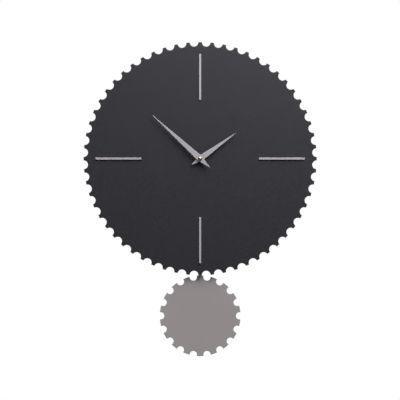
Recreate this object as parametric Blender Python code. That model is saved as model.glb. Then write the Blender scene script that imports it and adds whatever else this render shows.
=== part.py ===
"""Pendulum wall clock.

A black lacquered board dial with a scalloped edge stands in front of a battery movement, and a
smaller scalloped board bob hangs below it. The clock hangs on one wall screw, in the keyhole of a
bent steel hanger that the movement's nut clamps behind the dial, and rests on two padded spacers.

Axes: +Z is up, the dial faces -Y, +X is to the right of somebody reading the dial, and the wall is
the plane y = 0. The origin is the wall screw's axis where it enters the wall.

Every length below is in millimetres. x and z are measured from the hand axis as the dial is read,
and d is the distance out from the wall.
"""

import math

import bmesh
import bpy
from mathutils import Matrix, Vector

for stale in list(bpy.data.objects):
    bpy.data.objects.remove(stale, do_unlink=True)

MM = 0.001
GAP = 0.3  # running and assembly clearance between neighbouring pieces

# where the hand axis lies below the wall screw
HAND_AXIS_Z = -58.0

# dial plate
DIAL_R = 170.0
DIAL_TEETH = 60
DIAL_NOTCH_R = 6.3
DIAL_BACK, DIAL_FRONT = 37.0, 42.0
DIAL_HOLE_R = 4.4

# hour marks: flat bars on two studs each
BAR_INNER, BAR_OUTER = 85.6, 152.5
BAR_HALF_W = 1.5
BAR_T = 2.0
BAR_CORNER = 0.5
BAR_STUDS_AT = (97.0, 142.5)

# pendulum bob
BOB_R = 59.0
BOB_TEETH = 18
BOB_NOTCH_R = 5.3
BOB_NOTCH_AT = 57.6
BOB_Z = -229.6
BOB_BACK, BOB_FRONT = 28.0, 33.0

# pendulum suspension
PIVOT_Z = -24.0
MAGNET_Z = -42.0
PEG_Z = -62.0
KEYHOLE_DROP = 8.0
ROD_BACK, ROD_FRONT = 26.5, 27.7
LEADER_BACK, LEADER_FRONT = 24.6, 26.2

# movement case
CASE_HALF_W = 31.0
CASE_TOP, CASE_BOTTOM = 35.0, -54.0
CASE_CORNER = 5.0
CASE_BACK, CASE_SPLIT, CASE_FRONT = 14.2, 24.0, 34.2
WALL = 1.6
FLOOR_BACK = CASE_BACK + WALL
CEIL_FRONT = CASE_FRONT - WALL

# battery and its bay
BATTERY_R = 7.1
BATTERY_LEN = 50.5
BATTERY_Z = 24.2
BATTERY_D = 22.0

# hanger
HANGER_HALF_W = 12.0
HANGER_T = 1.0
SCREW_Z = -HAND_AXIS_Z
KEYHOLE_R = 4.5
KEYSLOT_R = 2.2

# spacers behind the dial's lower half
SPACER_RADIUS_AT = 120.0
SPACER_R = 8.0

# hands: a long dart, widest at the hub
MINUTE_TIP, MINUTE_TAIL = 94.0, 18.8
HOUR_TIP, HOUR_TAIL = 65.0, 14.8
HAND_HALF_W, HAND_WIDEST_AT = 4.4, 0.5
MINUTE_ANGLE, HOUR_ANGLE = -47.7, 54.4

# gear trains: (x, z) of each arbor
MINUTE_WHEEL = (7.5 * math.cos(math.radians(45)), 7.5 * math.sin(math.radians(45)))
KNOB = (
    MINUTE_WHEEL[0] + 7.5 * math.cos(math.radians(20)),
    MINUTE_WHEEL[1] + 7.5 * math.sin(math.radians(20)),
)
THIRD = (9.0 * math.cos(math.radians(200)), 9.0 * math.sin(math.radians(200)))
INTERMEDIATE = (7.0 * math.cos(math.radians(-20)), 7.0 * math.sin(math.radians(-20)))
ROTOR = (
    INTERMEDIATE[0] + 4.8 * math.cos(math.radians(-45)),
    INTERMEDIATE[1] + 4.8 * math.sin(math.radians(-45)),
)
# gear modules, from each pair's centre distance
ROTOR_M = 2 * 4.8 / (6 + 30)
SECONDS_M = 2 * 7.0 / (6 + 36)
THIRD_M = 2 * 9.0 / (6 + 45)
CENTRE_M = 2 * 9.0 / (6 + 48)
MOTION_M = 2 * 7.5 / (10 + 30)

# plate between the going train and the motion work
PLATE_BACK, PLATE_FRONT = 25.5, 26.5


# ---------------------------------------------------------------- shape helpers


def at(x, z, d):
    return Vector((x * MM, -d * MM, (z + HAND_AXIS_Z) * MM))


def circle(cx, cz, r, n, start=0.0):
    return [
        (
            cx + r * math.cos(start + 2 * math.pi * k / n),
            cz + r * math.sin(start + 2 * math.pi * k / n),
        )
        for k in range(n)
    ]


def arc(cx, cz, r, a0, a1, n):
    """Points from angle a0 to a1 in degrees, both ends included."""
    return [
        (
            cx + r * math.cos(math.radians(a0 + (a1 - a0) * k / n)),
            cz + r * math.sin(math.radians(a0 + (a1 - a0) * k / n)),
        )
        for k in range(n + 1)
    ]


def rounded(x0, x1, z0, z1, r, n=3):
    return (
        arc(x1 - r, z1 - r, r, 0, 90, n)
        + arc(x0 + r, z1 - r, r, 90, 180, n)
        + arc(x0 + r, z0 + r, r, 180, 270, n)
        + arc(x1 - r, z0 + r, r, 270, 360, n)
    )


def mirrored(right):
    """A closed outline from its right half, listed from top to bottom."""
    return right + [(-x, z) for x, z in reversed(right) if abs(x) > 1e-9]


def scalloped(cx, cz, tip_r, teeth, notch_r, notch_at, n_arc, n_tip):
    """A round plate's outline with a round notch between each pair of teeth, and a tooth at the top."""
    cos_half = (tip_r**2 + notch_at**2 - notch_r**2) / (2 * tip_r * notch_at)
    half = math.degrees(math.acos(cos_half))
    cos_open = (notch_at**2 + notch_r**2 - tip_r**2) / (2 * notch_at * notch_r)
    opening = math.degrees(math.acos(cos_open))
    pitch = 360.0 / teeth
    points = []
    for k in range(teeth):
        tooth = 90 + pitch * k
        tip_half = pitch / 2 - half
        points += arc(cx, cz, tip_r, tooth - tip_half, tooth + tip_half, n_tip)
        middle = tooth + pitch / 2
        nx = cx + notch_at * math.cos(math.radians(middle))
        nz = cz + notch_at * math.sin(math.radians(middle))
        inner = arc(
            nx, nz, notch_r, middle + 180 + opening, middle + 180 - opening, n_arc
        )
        points += inner[1:-1]
    return points


def gear(cx, cz, teeth, module, tooth_at, pinion=False):
    """A gear's outline: straight flanks, thinned for running clearance."""
    pitch_r = module * teeth / 2
    tip_r = pitch_r + 0.7 * module
    root_r = pitch_r - (1.2 if pinion else 1.3) * module
    step = 2 * math.pi / teeth
    half_tip = 0.10 * math.pi * module / tip_r
    points = []
    for k in range(teeth):
        a = math.radians(tooth_at) + step * k
        if pinion:
            half_root = 0.26 * math.pi * module / root_r
            seq = [
                (root_r, a - half_root),
                (tip_r, a - half_tip),
                (tip_r, a + half_tip),
                (root_r, a + half_root),
            ]
        else:
            seq = [(tip_r, a - half_tip), (tip_r, a + half_tip), (root_r, a + step / 2)]
        points += [(cx + r * math.cos(t), cz + r * math.sin(t)) for r, t in seq]
    return points


def direction(a, b):
    return math.degrees(math.atan2(b[1] - a[1], b[0] - a[0]))


def meshed(tooth_at, teeth, towards, other_teeth):
    """Where the second gear's first tooth lies, so that it meshes with a first gear in that direction."""
    return (
        towards
        + 180
        + 180 / other_teeth
        - (tooth_at - towards) * teeth / other_teeth
    )


def slab(loops, d0, d1):
    """A flat plate from d0 to d1: the first loop is its outline and the others are holes."""
    bm = bmesh.new()
    rings = []
    for loop in loops:
        front = [bm.verts.new(at(x, z, d1)) for x, z in loop]
        for k in range(len(front)):
            bm.edges.new((front[k], front[(k + 1) % len(front)]))
        rings.append(front)
    bmesh.ops.triangle_fill(bm, use_beauty=True, edges=bm.edges[:], normal=(0, -1, 0))
    caps = bm.faces[:]
    twin = {}
    for front, loop in zip(rings, loops):
        for v, (x, z) in zip(front, loop):
            twin[v] = bm.verts.new(at(x, z, d0))
    for f in caps:
        bm.faces.new([twin[v] for v in reversed(f.verts[:])])
    for front in rings:
        for k in range(len(front)):
            a, b = front[k], front[(k + 1) % len(front)]
            bm.faces.new((a, b, twin[b], twin[a]))
    bmesh.ops.recalc_face_normals(bm, faces=bm.faces[:])
    return bm


def block(x0, x1, z0, z1, d0, d1):
    return slab([[(x0, z0), (x1, z0), (x1, z1), (x0, z1)]], d0, d1)


def turned(centre, axis, profile, n):
    """A turned piece. profile lists (radius, distance along the axis) round its closed section."""
    bm = bmesh.new()
    cx, cz, cd = centre

    def spot(r, s, k):
        a = 2 * math.pi * k / n
        u, w = r * math.cos(a), r * math.sin(a)
        if axis == "d":
            return at(cx + u, cz + w, cd + s)
        if axis == "x":
            return at(cx + s, cz + u, cd + w)
        return at(cx + u, cz + s, cd + w)

    rings = []
    for r, s in profile:
        if r < 1e-9:
            rings.append([bm.verts.new(spot(0, s, 0))] * n)
        else:
            rings.append([bm.verts.new(spot(r, s, k)) for k in range(n)])
    for j in range(len(rings)):
        low, high = rings[j], rings[(j + 1) % len(rings)]
        for k in range(n):
            m = (k + 1) % n
            corners = []
            for v in (low[k], low[m], high[m], high[k]):
                if v not in corners:
                    corners.append(v)
            if len(corners) > 2:
                bm.faces.new(corners)
    bmesh.ops.recalc_face_normals(bm, faces=bm.faces[:])
    return bm


def cylinder(x, z, r, d0, d1, n=24):
    return slab([circle(x, z, r, n)], d0, d1)


def ring(x, z, r0, r1, d0, d1, n=32):
    return turned((x, z, 0), "d", [(r0, d0), (r1, d0), (r1, d1), (r0, d1)], n)


def turn_clockwise(bm, degrees):
    """Turns a shape about the hand axis, clockwise as the dial is read."""
    centre = at(0, 0, 0)
    spin = Matrix.Rotation(math.radians(degrees), 4, Vector((0, 1, 0)))
    bmesh.ops.transform(
        bm,
        matrix=Matrix.Translation(centre) @ spin @ Matrix.Translation(-centre),
        verts=bm.verts[:],
    )
    return bm


# ---------------------------------------------------------------- object helpers


def mesh_object(name, bm):
    data = bpy.data.meshes.new(name)
    bm.to_mesh(data)
    bm.free()
    obj = bpy.data.objects.new(name, data)
    bpy.context.scene.collection.objects.link(obj)
    return obj


def combine(obj, bm, operation):
    """Joins a shape to the object, or cuts it away, with an exact Boolean."""
    tool = mesh_object("tool", bm)
    tool.hide_render = True
    tool.display_type = "WIRE"
    modifier = obj.modifiers.new(operation.lower(), "BOOLEAN")
    modifier.operation = operation
    modifier.solver = "EXACT"
    modifier.object = tool
    graph = bpy.context.evaluated_depsgraph_get()
    result = bpy.data.meshes.new_from_object(obj.evaluated_get(graph))
    obj.modifiers.clear()
    old = obj.data
    obj.data = result
    bpy.data.meshes.remove(old)
    scrap = tool.data
    bpy.data.objects.remove(tool, do_unlink=True)
    bpy.data.meshes.remove(scrap)


def piece(name, bm, look, add=(), cut=(), pivot=None):
    """One separate piece of the clock. pivot is (x, z, d), where a moving piece has its joint axis."""
    obj = mesh_object(name, bm)
    for shape in add:
        combine(obj, shape, "UNION")
    for shape in cut:
        combine(obj, shape, "DIFFERENCE")
    data = obj.data
    data.name = name
    if pivot is not None:
        place = at(*pivot)
        data.transform(Matrix.Translation(-place))
        obj.location = place
    colour, roughness, metallic = look
    material = bpy.data.materials.new(name)
    material.use_nodes = True
    shader = material.node_tree.nodes["Principled BSDF"]
    shader.inputs["Base Color"].default_value = (*colour, 1.0)
    shader.inputs["Roughness"].default_value = roughness
    shader.inputs["Metallic"].default_value = metallic
    data.materials.clear()
    data.materials.append(material)
    data.shade_smooth()
    data.set_sharp_from_angle(angle=math.radians(32))
    return obj


# colour, roughness, metallic
BLACK_LACQUER = ((0.036, 0.035, 0.041), 0.55, 0.0)
GREY_LACQUER = ((0.26, 0.235, 0.24), 0.5, 0.0)
SATIN_STEEL = ((0.42, 0.41, 0.43), 0.35, 1.0)
HAND_METAL = ((0.38, 0.37, 0.40), 0.4, 0.6)
BRASS = ((0.70, 0.52, 0.24), 0.3, 1.0)
ZINC = ((0.55, 0.56, 0.57), 0.4, 1.0)
BLACK_PLASTIC = ((0.03, 0.03, 0.032), 0.5, 0.0)
WHITE_PLASTIC = ((0.75, 0.74, 0.70), 0.45, 0.0)
RUBBER = ((0.02, 0.02, 0.02), 0.8, 0.0)
BLACK_STEEL = ((0.025, 0.025, 0.028), 0.45, 0.6)
COPPER = ((0.60, 0.25, 0.12), 0.35, 1.0)
GREEN_BOARD = ((0.03, 0.16, 0.07), 0.45, 0.0)
EPOXY = ((0.012, 0.012, 0.014), 0.35, 0.0)
CELL = ((0.10, 0.12, 0.16), 0.3, 0.6)
PAD = ((0.05, 0.05, 0.05), 0.9, 0.0)
MAGNET = ((0.35, 0.35, 0.36), 0.3, 1.0)


# ---------------------------------------------------------------- dial and hour marks

stud_holes = []
for quarter in range(4):
    a = math.radians(90 * quarter)
    for r in BAR_STUDS_AT:
        stud_holes.append(
            cylinder(r * math.sin(a), r * math.cos(a), 1.1, 40.0, 43.0, 8)
        )

piece(
    "dial_plate",
    slab(
        [
            scalloped(0, 0, DIAL_R, DIAL_TEETH, DIAL_NOTCH_R, DIAL_R, 5, 1),
            circle(0, 0, DIAL_HOLE_R, 20),
        ],
        DIAL_BACK,
        DIAL_FRONT,
    ),
    BLACK_LACQUER,
    cut=stud_holes,
)


def hour_mark(name, degrees):
    """A flat bar with rounded ends, lying along a radius of the dial, on two studs."""
    back = DIAL_FRONT + GAP
    outline = rounded(-BAR_HALF_W, BAR_HALF_W, BAR_INNER, BAR_OUTER, BAR_CORNER, 3)
    studs = [
        turn_clockwise(cylinder(0, r, 0.8, 40.3, back + BAR_T / 2, 8), degrees)
        for r in BAR_STUDS_AT
    ]
    bar = turn_clockwise(slab([outline], back, back + BAR_T), degrees)
    piece(name, bar, SATIN_STEEL, add=studs)


hour_mark("index_bar_12", 0)
hour_mark("index_bar_3", 90)
hour_mark("index_bar_6", 180)
hour_mark("index_bar_9", 270)


# ---------------------------------------------------------------- hanger and wall spacers


def hanger_section():
    """(z, d) outline of the bent strip: up behind the dial, back to the wall, and up the wall."""
    front0, front1 = DIAL_BACK - GAP - HANGER_T, DIAL_BACK - GAP
    wall0, wall1 = 1.5, 1.5 + HANGER_T
    bend_z = 39.0
    inner, outer = 1.5, 1.5 + HANGER_T
    # lower bend, centred inside the angle between the strip and the shelf
    low = []
    cz, cd = bend_z - inner, front0 - inner
    for k in range(4):
        t = math.radians(30 * k)
        low.append((cz + outer * math.sin(t), cd + outer * math.cos(t)))
    low_in = []
    for k in range(4):
        t = math.radians(30 * k)
        low_in.append((cz + inner * math.sin(t), cd + inner * math.cos(t)))
    # upper bend, centred inside the angle between the shelf and the wall flange
    cz2, cd2 = bend_z + HANGER_T + inner, wall1 + inner
    up_in, up = [], []
    for k in range(4):
        t = math.radians(30 * k)
        up_in.append((cz2 - inner * math.cos(t), cd2 - inner * math.sin(t)))
        up.append((cz2 - outer * math.cos(t), cd2 - outer * math.sin(t)))
    bottom, top = -10.0, 68.0
    return (
        [(bottom, front0), (bottom, front1)]
        + low
        + up_in
        + [(top, wall1), (top, wall0)]
        + list(reversed(up))
        + list(reversed(low_in))
    )


def across(section, x0, x1):
    """A (z, d) section drawn out sideways from x0 to x1."""
    bm = bmesh.new()
    left = [bm.verts.new(at(x0, z, d)) for z, d in section]
    right = [bm.verts.new(at(x1, z, d)) for z, d in section]
    bm.faces.new(left)
    bm.faces.new(list(reversed(right)))
    for k in range(len(section)):
        m = (k + 1) % len(section)
        bm.faces.new((left[k], right[k], right[m], left[m]))
    bmesh.ops.recalc_face_normals(bm, faces=bm.faces[:])
    return bm


slot_start = math.degrees(math.asin(KEYSLOT_R / KEYHOLE_R))
keyhole = arc(0, SCREW_Z, KEYSLOT_R, 180, 0, 5) + arc(
    0, SCREW_Z - KEYHOLE_DROP, KEYHOLE_R, 90 - slot_start, -270 + slot_start, 14
)


def corner_trim(sign, z_edge, up, r, d0, d1):
    """What is cut away to round one corner of the hanger."""
    cx = sign * (HANGER_HALF_W - r)
    cz = z_edge - up * r
    pts = [
        (
            cx + sign * r * math.cos(math.radians(t)),
            cz + up * r * math.sin(math.radians(t)),
        )
        for t in (0, 30, 60, 90)
    ]
    pts = [(sign * (HANGER_HALF_W + 1), cz)] + pts + [
        (cx, z_edge + up),
        (sign * (HANGER_HALF_W + 1), z_edge + up),
    ]
    return slab([pts], d0, d1)


piece(
    "hanger_plate",
    across(hanger_section(), -HANGER_HALF_W, HANGER_HALF_W),
    ZINC,
    cut=[
        cylinder(0, 0, 4.3, 34.0, 38.0, 20),
        slab([keyhole], 0.5, 4.0),
        corner_trim(1, 68.0, 1, 5.0, 0.5, 4.0),
        corner_trim(-1, 68.0, 1, 5.0, 0.5, 4.0),
        corner_trim(1, -10.0, -1, 5.0, 34.0, 38.0),
        corner_trim(-1, -10.0, -1, 5.0, 34.0, 38.0),
    ],
)

spacer_xz = SPACER_RADIUS_AT * math.sqrt(0.5)
for side, sign in (("left", -1), ("right", 1)):
    piece(
        f"wall_spacer_{side}",
        turned(
            (sign * spacer_xz, -spacer_xz, 0),
            "d",
            [
                (0.0, 2.3),
                (SPACER_R, 2.3),
                (SPACER_R, DIAL_BACK - GAP),
                (0.0, DIAL_BACK - GAP),
            ],
            24,
        ),
        BLACK_PLASTIC,
    )
    piece(
        f"wall_pad_{side}",
        cylinder(sign * spacer_xz, -spacer_xz, SPACER_R - 0.5, 0.0, 2.0, 24),
        PAD,
    )


# ---------------------------------------------------------------- movement case

outer_outline = rounded(
    -CASE_HALF_W, CASE_HALF_W, CASE_BOTTOM, CASE_TOP, CASE_CORNER, 3
)
inner_outline = rounded(
    -CASE_HALF_W + WALL,
    CASE_HALF_W - WALL,
    CASE_BOTTOM + WALL,
    CASE_TOP - WALL,
    CASE_CORNER - WALL,
    3,
)
PLATE_POSTS = ((-26.0, 11.0), (26.0, 11.0), (-26.0, -14.5), (26.9, -14.5))
CASE_SCREWS = ((-24.0, -46.5), (24.0, -46.5))

front_posts = [cylinder(x, z, 1.5, PLATE_FRONT + GAP, 33.4, 8) for x, z in PLATE_POSTS]
front_posts += [cylinder(x, z, 3.0, 24.8, 33.4, 12) for x, z in CASE_SCREWS]
front_posts.append(cylinder(0, PIVOT_Z, 2.6, 27.0, 33.4, 12))
front_holes = [
    cylinder(0, 0, 4.3, 32.0, 35.0, 20),
    cylinder(0, 0, 5.9, 31.5, 33.5, 20),
    cylinder(*MINUTE_WHEEL, 0.9, 31.5, 33.5, 8),
    cylinder(*KNOB, 1.2, 31.5, 33.5, 8),
    cylinder(0, PIVOT_Z, 1.4, 26.0, 31.6, 8),
    block(-11, 11, CASE_BOTTOM - 1, CASE_BOTTOM + 2.4, 23.0, 30.5),
]
front_holes += [cylinder(x, z, 1.3, 24.0, 31.0, 8) for x, z in CASE_SCREWS]

piece(
    "movement_front_case",
    slab([outer_outline], CASE_SPLIT + GAP, CASE_FRONT),
    BLACK_PLASTIC,
    cut=[slab([inner_outline], 23.0, CEIL_FRONT)],
)
front_case = bpy.data.objects["movement_front_case"]
for shape in front_posts:
    combine(front_case, shape, "UNION")
for shape in front_holes:
    combine(front_case, shape, "DIFFERENCE")

back_posts = [cylinder(x, z, 1.5, 15.0, PLATE_BACK - GAP, 8) for x, z in PLATE_POSTS]
back_posts += [cylinder(x, z, 3.0, 15.0, 24.5, 12) for x, z in CASE_SCREWS]
back_posts += [
    cylinder(0, PIVOT_Z, 2.6, 15.0, 23.8, 12),
    cylinder(14.0, -13.75, 1.2, 15.0, 21.3, 8),
    cylinder(15.5, 3.75, 1.2, 15.0, 21.3, 8),
    slab([rounded(-28.5, 28.5, 15.3, 33.1, 2.6, 2)], 15.0, 30.7),
    block(-27.0, 27.0, 32.0, 34.2, 15.0, 23.7),
]
back_holes = [
    slab([rounded(-27.3, 27.3, 16.5, 31.9, 1.0, 2)], 13.0, 29.5),
    cylinder(*KNOB, 1.7, 13.0, 17.0, 10),
    cylinder(*THIRD, 0.9, 15.0, 17.0, 8),
    cylinder(0, 0, 0.9, 15.0, 17.0, 8),
    cylinder(*INTERMEDIATE, 0.9, 15.0, 16.3, 8),
    cylinder(*ROTOR, 0.9, 15.0, 16.3, 8),
    cylinder(0, PIVOT_Z, 1.4, 16.5, 25.0, 8),
    block(-11, 11, CASE_BOTTOM - 1, CASE_BOTTOM + 2.4, 22.0, 25.0),
]
back_holes += [cylinder(x, z, 1.4, 13.0, 26.0, 8) for x, z in CASE_SCREWS]
back_holes += [cylinder(x, z, 2.6, 13.0, 16.5, 12) for x, z in CASE_SCREWS]

piece(
    "movement_back_cover",
    slab([outer_outline], CASE_BACK, CASE_SPLIT),
    BLACK_PLASTIC,
    cut=[slab([inner_outline], FLOOR_BACK, 25.0)],
)
back_cover = bpy.data.objects["movement_back_cover"]
for shape in back_posts:
    combine(back_cover, shape, "UNION")
for shape in back_holes:
    combine(back_cover, shape, "DIFFERENCE")

for obj in (front_case, back_cover):
    obj.data.shade_smooth()
    obj.data.set_sharp_from_angle(angle=math.radians(32))

for side, (x, z) in zip(("left", "right"), CASE_SCREWS):
    piece(
        f"case_screw_{side}",
        turned(
            (x, z, 0),
            "d",
            [
                (0.0, 14.6),
                (2.1, 14.6),
                (2.1, 16.2),
                (0.9, 16.2),
                (0.9, 30.2),
                (0.0, 30.6),
            ],
            10,
        ),
        ZINC,
    )

# ---------------------------------------------------------------- clamp: bush, gasket, washer, nut

piece(
    "movement_bush",
    turned(
        (0, 0, 0),
        "d",
        [
            (2.8, CEIL_FRONT),
            (5.6, CEIL_FRONT),
            (5.6, 33.2),
            (4.0, 33.2),
            (4.0, 45.6),
            (3.6, 46.0),
            (2.8, 46.0),
        ],
        20,
    ),
    BRASS,
)
piece("rubber_gasket", ring(0, 0, 4.6, 9.0, 34.5, 35.4, 20), RUBBER)
piece("bush_washer", ring(0, 0, 4.3, 6.0, 42.3, 42.8, 20), BLACK_STEEL)
piece(
    "bush_nut",
    slab([circle(0, 0, 5.8, 6), circle(0, 0, 4.3, 20)], 43.1, 45.1),
    BLACK_STEEL,
)

# ---------------------------------------------------------------- gear plate and electrics

piece(
    "gear_plate",
    slab(
        [
            rounded(-28.0, 28.6, -17.0, 14.0, 3.0, 3),
            circle(0, 0, 1.6, 10),
            circle(*THIRD, 0.9, 8),
            circle(*ROTOR, 0.9, 8),
            circle(*MINUTE_WHEEL, 0.9, 8),
            circle(*KNOB, 1.7, 10),
        ],
        PLATE_BACK,
        PLATE_FRONT,
    ),
    WHITE_PLASTIC,
)

piece(
    "circuit_board",
    slab(
        [
            rounded(-28.4, -18.0, -30.0, 8.0, 1.0, 2),
            circle(PLATE_POSTS[2][0], PLATE_POSTS[2][1], 1.9, 8),
        ],
        18.0,
        19.0,
    ),
    GREEN_BOARD,
)
piece(
    "quartz_crystal",
    turned(
        (-23.2, 0, 20.8),
        "z",
        [(0, -28.0), (1.5, -28.0), (1.5, -22.0), (0, -22.0)],
        12,
    ),
    ZINC,
)
piece("controller_chip", slab([rounded(-26, -20, -8, -2, 1.5, 2)], 19.3, 20.5), EPOXY)

piece(
    "step_motor_stator",
    slab([rounded(8.6, 11.4, -15.0, 5.0, 0.3, 1)], 21.6, 22.4),
    ZINC,
    add=[
        slab([circle(*ROTOR, 4.2, 18)], 21.6, 22.4),
        slab([circle(*INTERMEDIATE, 2.0, 10)], 21.6, 22.4),
        block(9.0, 22.2, 2.5, 4.9, 21.6, 22.4),
        block(9.0, 22.2, -14.9, -12.5, 21.6, 22.4),
    ],
    cut=[
        cylinder(*ROTOR, 2.1, 20.0, 24.0, 14),
        cylinder(*INTERMEDIATE, 0.9, 20.0, 24.0, 8),
    ],
)
piece("step_coil_core", block(19.8, 22.2, -15.0, 5.0, 20.5, 21.3), ZINC)
piece(
    "step_coil_bobbin",
    turned(
        (21.0, 0, 20.9),
        "z",
        [
            (1.6, -12.2),
            (4.0, -12.2),
            (4.0, -11.4),
            (2.1, -11.4),
            (2.1, 1.4),
            (4.0, 1.4),
            (4.0, 2.2),
            (1.6, 2.2),
        ],
        12,
    ),
    WHITE_PLASTIC,
)
piece(
    "step_coil_winding",
    turned(
        (21.0, 0, 20.9),
        "z",
        [(2.4, -11.1), (3.7, -11.1), (3.7, 1.1), (2.4, 1.1)],
        12,
    ),
    COPPER,
)
piece("pendulum_coil", ring(0, MAGNET_Z, 2.6, 8.0, 29.2, CEIL_FRONT - GAP, 18), COPPER)
piece("pendulum_pivot_pin", cylinder(0, PIVOT_Z, 1.0, 16.8, 31.3, 8), ZINC)

# contact plates at the two ends of the battery bay, each with a raised boss
piece(
    "battery_contact_positive",
    block(26.0, 26.6, 18.5, 29.9, 15.5, 28.0),
    ZINC,
    add=[
        turned(
            (0, BATTERY_Z, BATTERY_D), "x", [(0, 26.3), (3.2, 26.3), (2.4, 25.6), (0, 25.6)], 10
        )
    ],
)
piece(
    "battery_contact_negative",
    block(-26.8, -26.2, 18.5, 29.9, 15.5, 28.0),
    ZINC,
    add=[
        turned(
            (0, BATTERY_Z, BATTERY_D),
            "x",
            [(0, -26.5), (4.2, -26.5), (2.8, -25.6), (0, -25.6)],
            10,
        )
    ],
)

half = BATTERY_LEN / 2
piece(
    "battery",
    turned(
        (0, BATTERY_Z, BATTERY_D),
        "x",
        [
            (0.0, -half),
            (6.6, -half),
            (BATTERY_R, -half + 0.6),
            (BATTERY_R, half - 1.9),
            (6.5, half - 1.2),
            (2.7, half - 1.2),
            (2.7, half),
            (0.0, half),
        ],
        20,
    ),
    CELL,
    pivot=(0, BATTERY_Z, BATTERY_D),
)

# ---------------------------------------------------------------- going train

# The step motor's rotor drives the intermediate wheel, the seconds wheel, the third wheel and
# the centre wheel in turn. The centre wheel slips on the minute arbor when the knob is turned.

rotor_tooth = direction(ROTOR, INTERMEDIATE)
inter_tooth = meshed(rotor_tooth, 6, rotor_tooth, 30)
inter_pinion_tooth = direction(INTERMEDIATE, (0, 0))
seconds_tooth = meshed(inter_pinion_tooth, 6, inter_pinion_tooth, 36)
seconds_pinion_tooth = direction((0, 0), THIRD)
third_tooth = meshed(seconds_pinion_tooth, 6, seconds_pinion_tooth, 45)
third_pinion_tooth = direction(THIRD, (0, 0))
centre_tooth = meshed(third_pinion_tooth, 6, third_pinion_tooth, 48)

piece(
    "rotor_pinion",
    cylinder(*ROTOR, 0.45, 15.3, 26.2, 8),
    WHITE_PLASTIC,
    add=[slab([gear(*ROTOR, 6, ROTOR_M, rotor_tooth, True)], 16.3, 17.9)],
    pivot=(*ROTOR, 17.0),
)
piece(
    "rotor_magnet",
    ring(*ROTOR, 0.8, 1.6, 21.1, 22.9, 12),
    MAGNET,
    pivot=(*ROTOR, 22.0),
)
piece(
    "intermediate_wheel",
    slab([gear(*INTERMEDIATE, 30, ROTOR_M, inter_tooth)], 16.5, 17.2),
    WHITE_PLASTIC,
    add=[
        slab([gear(*INTERMEDIATE, 6, SECONDS_M, inter_pinion_tooth, True)], 16.9, 19.5),
        cylinder(*INTERMEDIATE, 0.5, 15.3, 22.8, 8),
    ],
    pivot=(*INTERMEDIATE, 17.0),
)
piece(
    "seconds_wheel",
    slab([gear(0, 0, 36, SECONDS_M, seconds_tooth)], 18.2, 19.0),
    BRASS,
    add=[
        slab([gear(0, 0, 6, THIRD_M, seconds_pinion_tooth, True)], 18.6, 21.9),
        cylinder(0, 0, 0.45, 15.3, 23.7, 8),
    ],
    pivot=(0, 0, 18.6),
)
piece(
    "third_wheel",
    slab([gear(*THIRD, 45, THIRD_M, third_tooth)], 20.6, 21.4),
    BRASS,
    add=[
        slab([gear(*THIRD, 6, CENTRE_M, third_pinion_tooth, True)], 21.0, 24.9),
        cylinder(*THIRD, 0.5, 15.3, 26.2, 8),
    ],
    pivot=(*THIRD, 21.0),
)
piece(
    "centre_wheel",
    slab([gear(0, 0, 48, CENTRE_M, centre_tooth)], 23.8, 24.6),
    BRASS,
    add=[cylinder(0, 0, 2.6, 23.0, 25.2, 12)],
    cut=[cylinder(0, 0, 1.6, 22.0, 26.0, 10)],
    pivot=(0, 0, 24.2),
)

# ---------------------------------------------------------------- motion work

cannon_tooth = 45.0
minute_wheel_tooth = meshed(cannon_tooth, 10, 45.0, 30)
minute_pinion_tooth = 225.0
hour_tooth = meshed(minute_pinion_tooth, 8, 225.0, 32)
knob_tooth = meshed(minute_wheel_tooth, 30, direction(MINUTE_WHEEL, KNOB), 10)

piece(
    "minute_arbor",
    turned(
        (0, 0, 0),
        "d",
        [
            (0.0, 24.2),
            (0.8, 24.2),
            (0.8, 22.2),
            (1.2, 22.2),
            (1.2, 29.4),
            (1.6, 29.4),
            (1.6, 52.9),
            (1.3, 53.3),
            (0.0, 53.3),
        ],
        14,
    ),
    BRASS,
    add=[slab([gear(0, 0, 10, MOTION_M, cannon_tooth, True)], 27.4, 29.0)],
    pivot=(0, 0, 28.2),
)
piece(
    "minute_wheel",
    slab([gear(*MINUTE_WHEEL, 30, MOTION_M, minute_wheel_tooth)], 27.8, 28.6),
    WHITE_PLASTIC,
    add=[
        slab([gear(*MINUTE_WHEEL, 8, MOTION_M, minute_pinion_tooth, True)], 28.2, 32.2),
        cylinder(*MINUTE_WHEEL, 0.5, 25.8, 33.2, 8),
    ],
    pivot=(*MINUTE_WHEEL, 28.2),
)
piece(
    "hour_wheel",
    slab([gear(0, 0, 32, MOTION_M, hour_tooth)], 31.1, 31.9),
    WHITE_PLASTIC,
    add=[cylinder(0, 0, 2.5, 31.3, 49.2, 16)],
    cut=[cylinder(0, 0, 1.95, 30.0, 50.0, 16)],
    pivot=(0, 0, 31.5),
)
piece(
    "setting_knob",
    turned(
        (*KNOB, 0),
        "d",
        [
            (0.0, 9.0),
            (6.5, 9.0),
            (7.0, 9.5),
            (7.0, 13.6),
            (1.3, 13.6),
            (1.3, 29.6),
            (0.8, 29.6),
            (0.8, 33.2),
            (0.0, 33.2),
        ],
        16,
    ),
    WHITE_PLASTIC,
    add=[slab([gear(*KNOB, 10, MOTION_M, knob_tooth, True)], 27.5, 28.9)],
    pivot=(*KNOB, 28.2),
)

# ---------------------------------------------------------------- hands


def hand(name, degrees, tip, tail, hole_r, d0, d1):
    outline = [
        (0, tip),
        (-HAND_HALF_W, HAND_WIDEST_AT),
        (0, -tail),
        (HAND_HALF_W, HAND_WIDEST_AT),
    ]
    bm = turn_clockwise(slab([outline, circle(0, 0, hole_r, 16)], d0, d1), degrees)
    piece(name, bm, HAND_METAL, pivot=(0, 0, d0))


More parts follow.
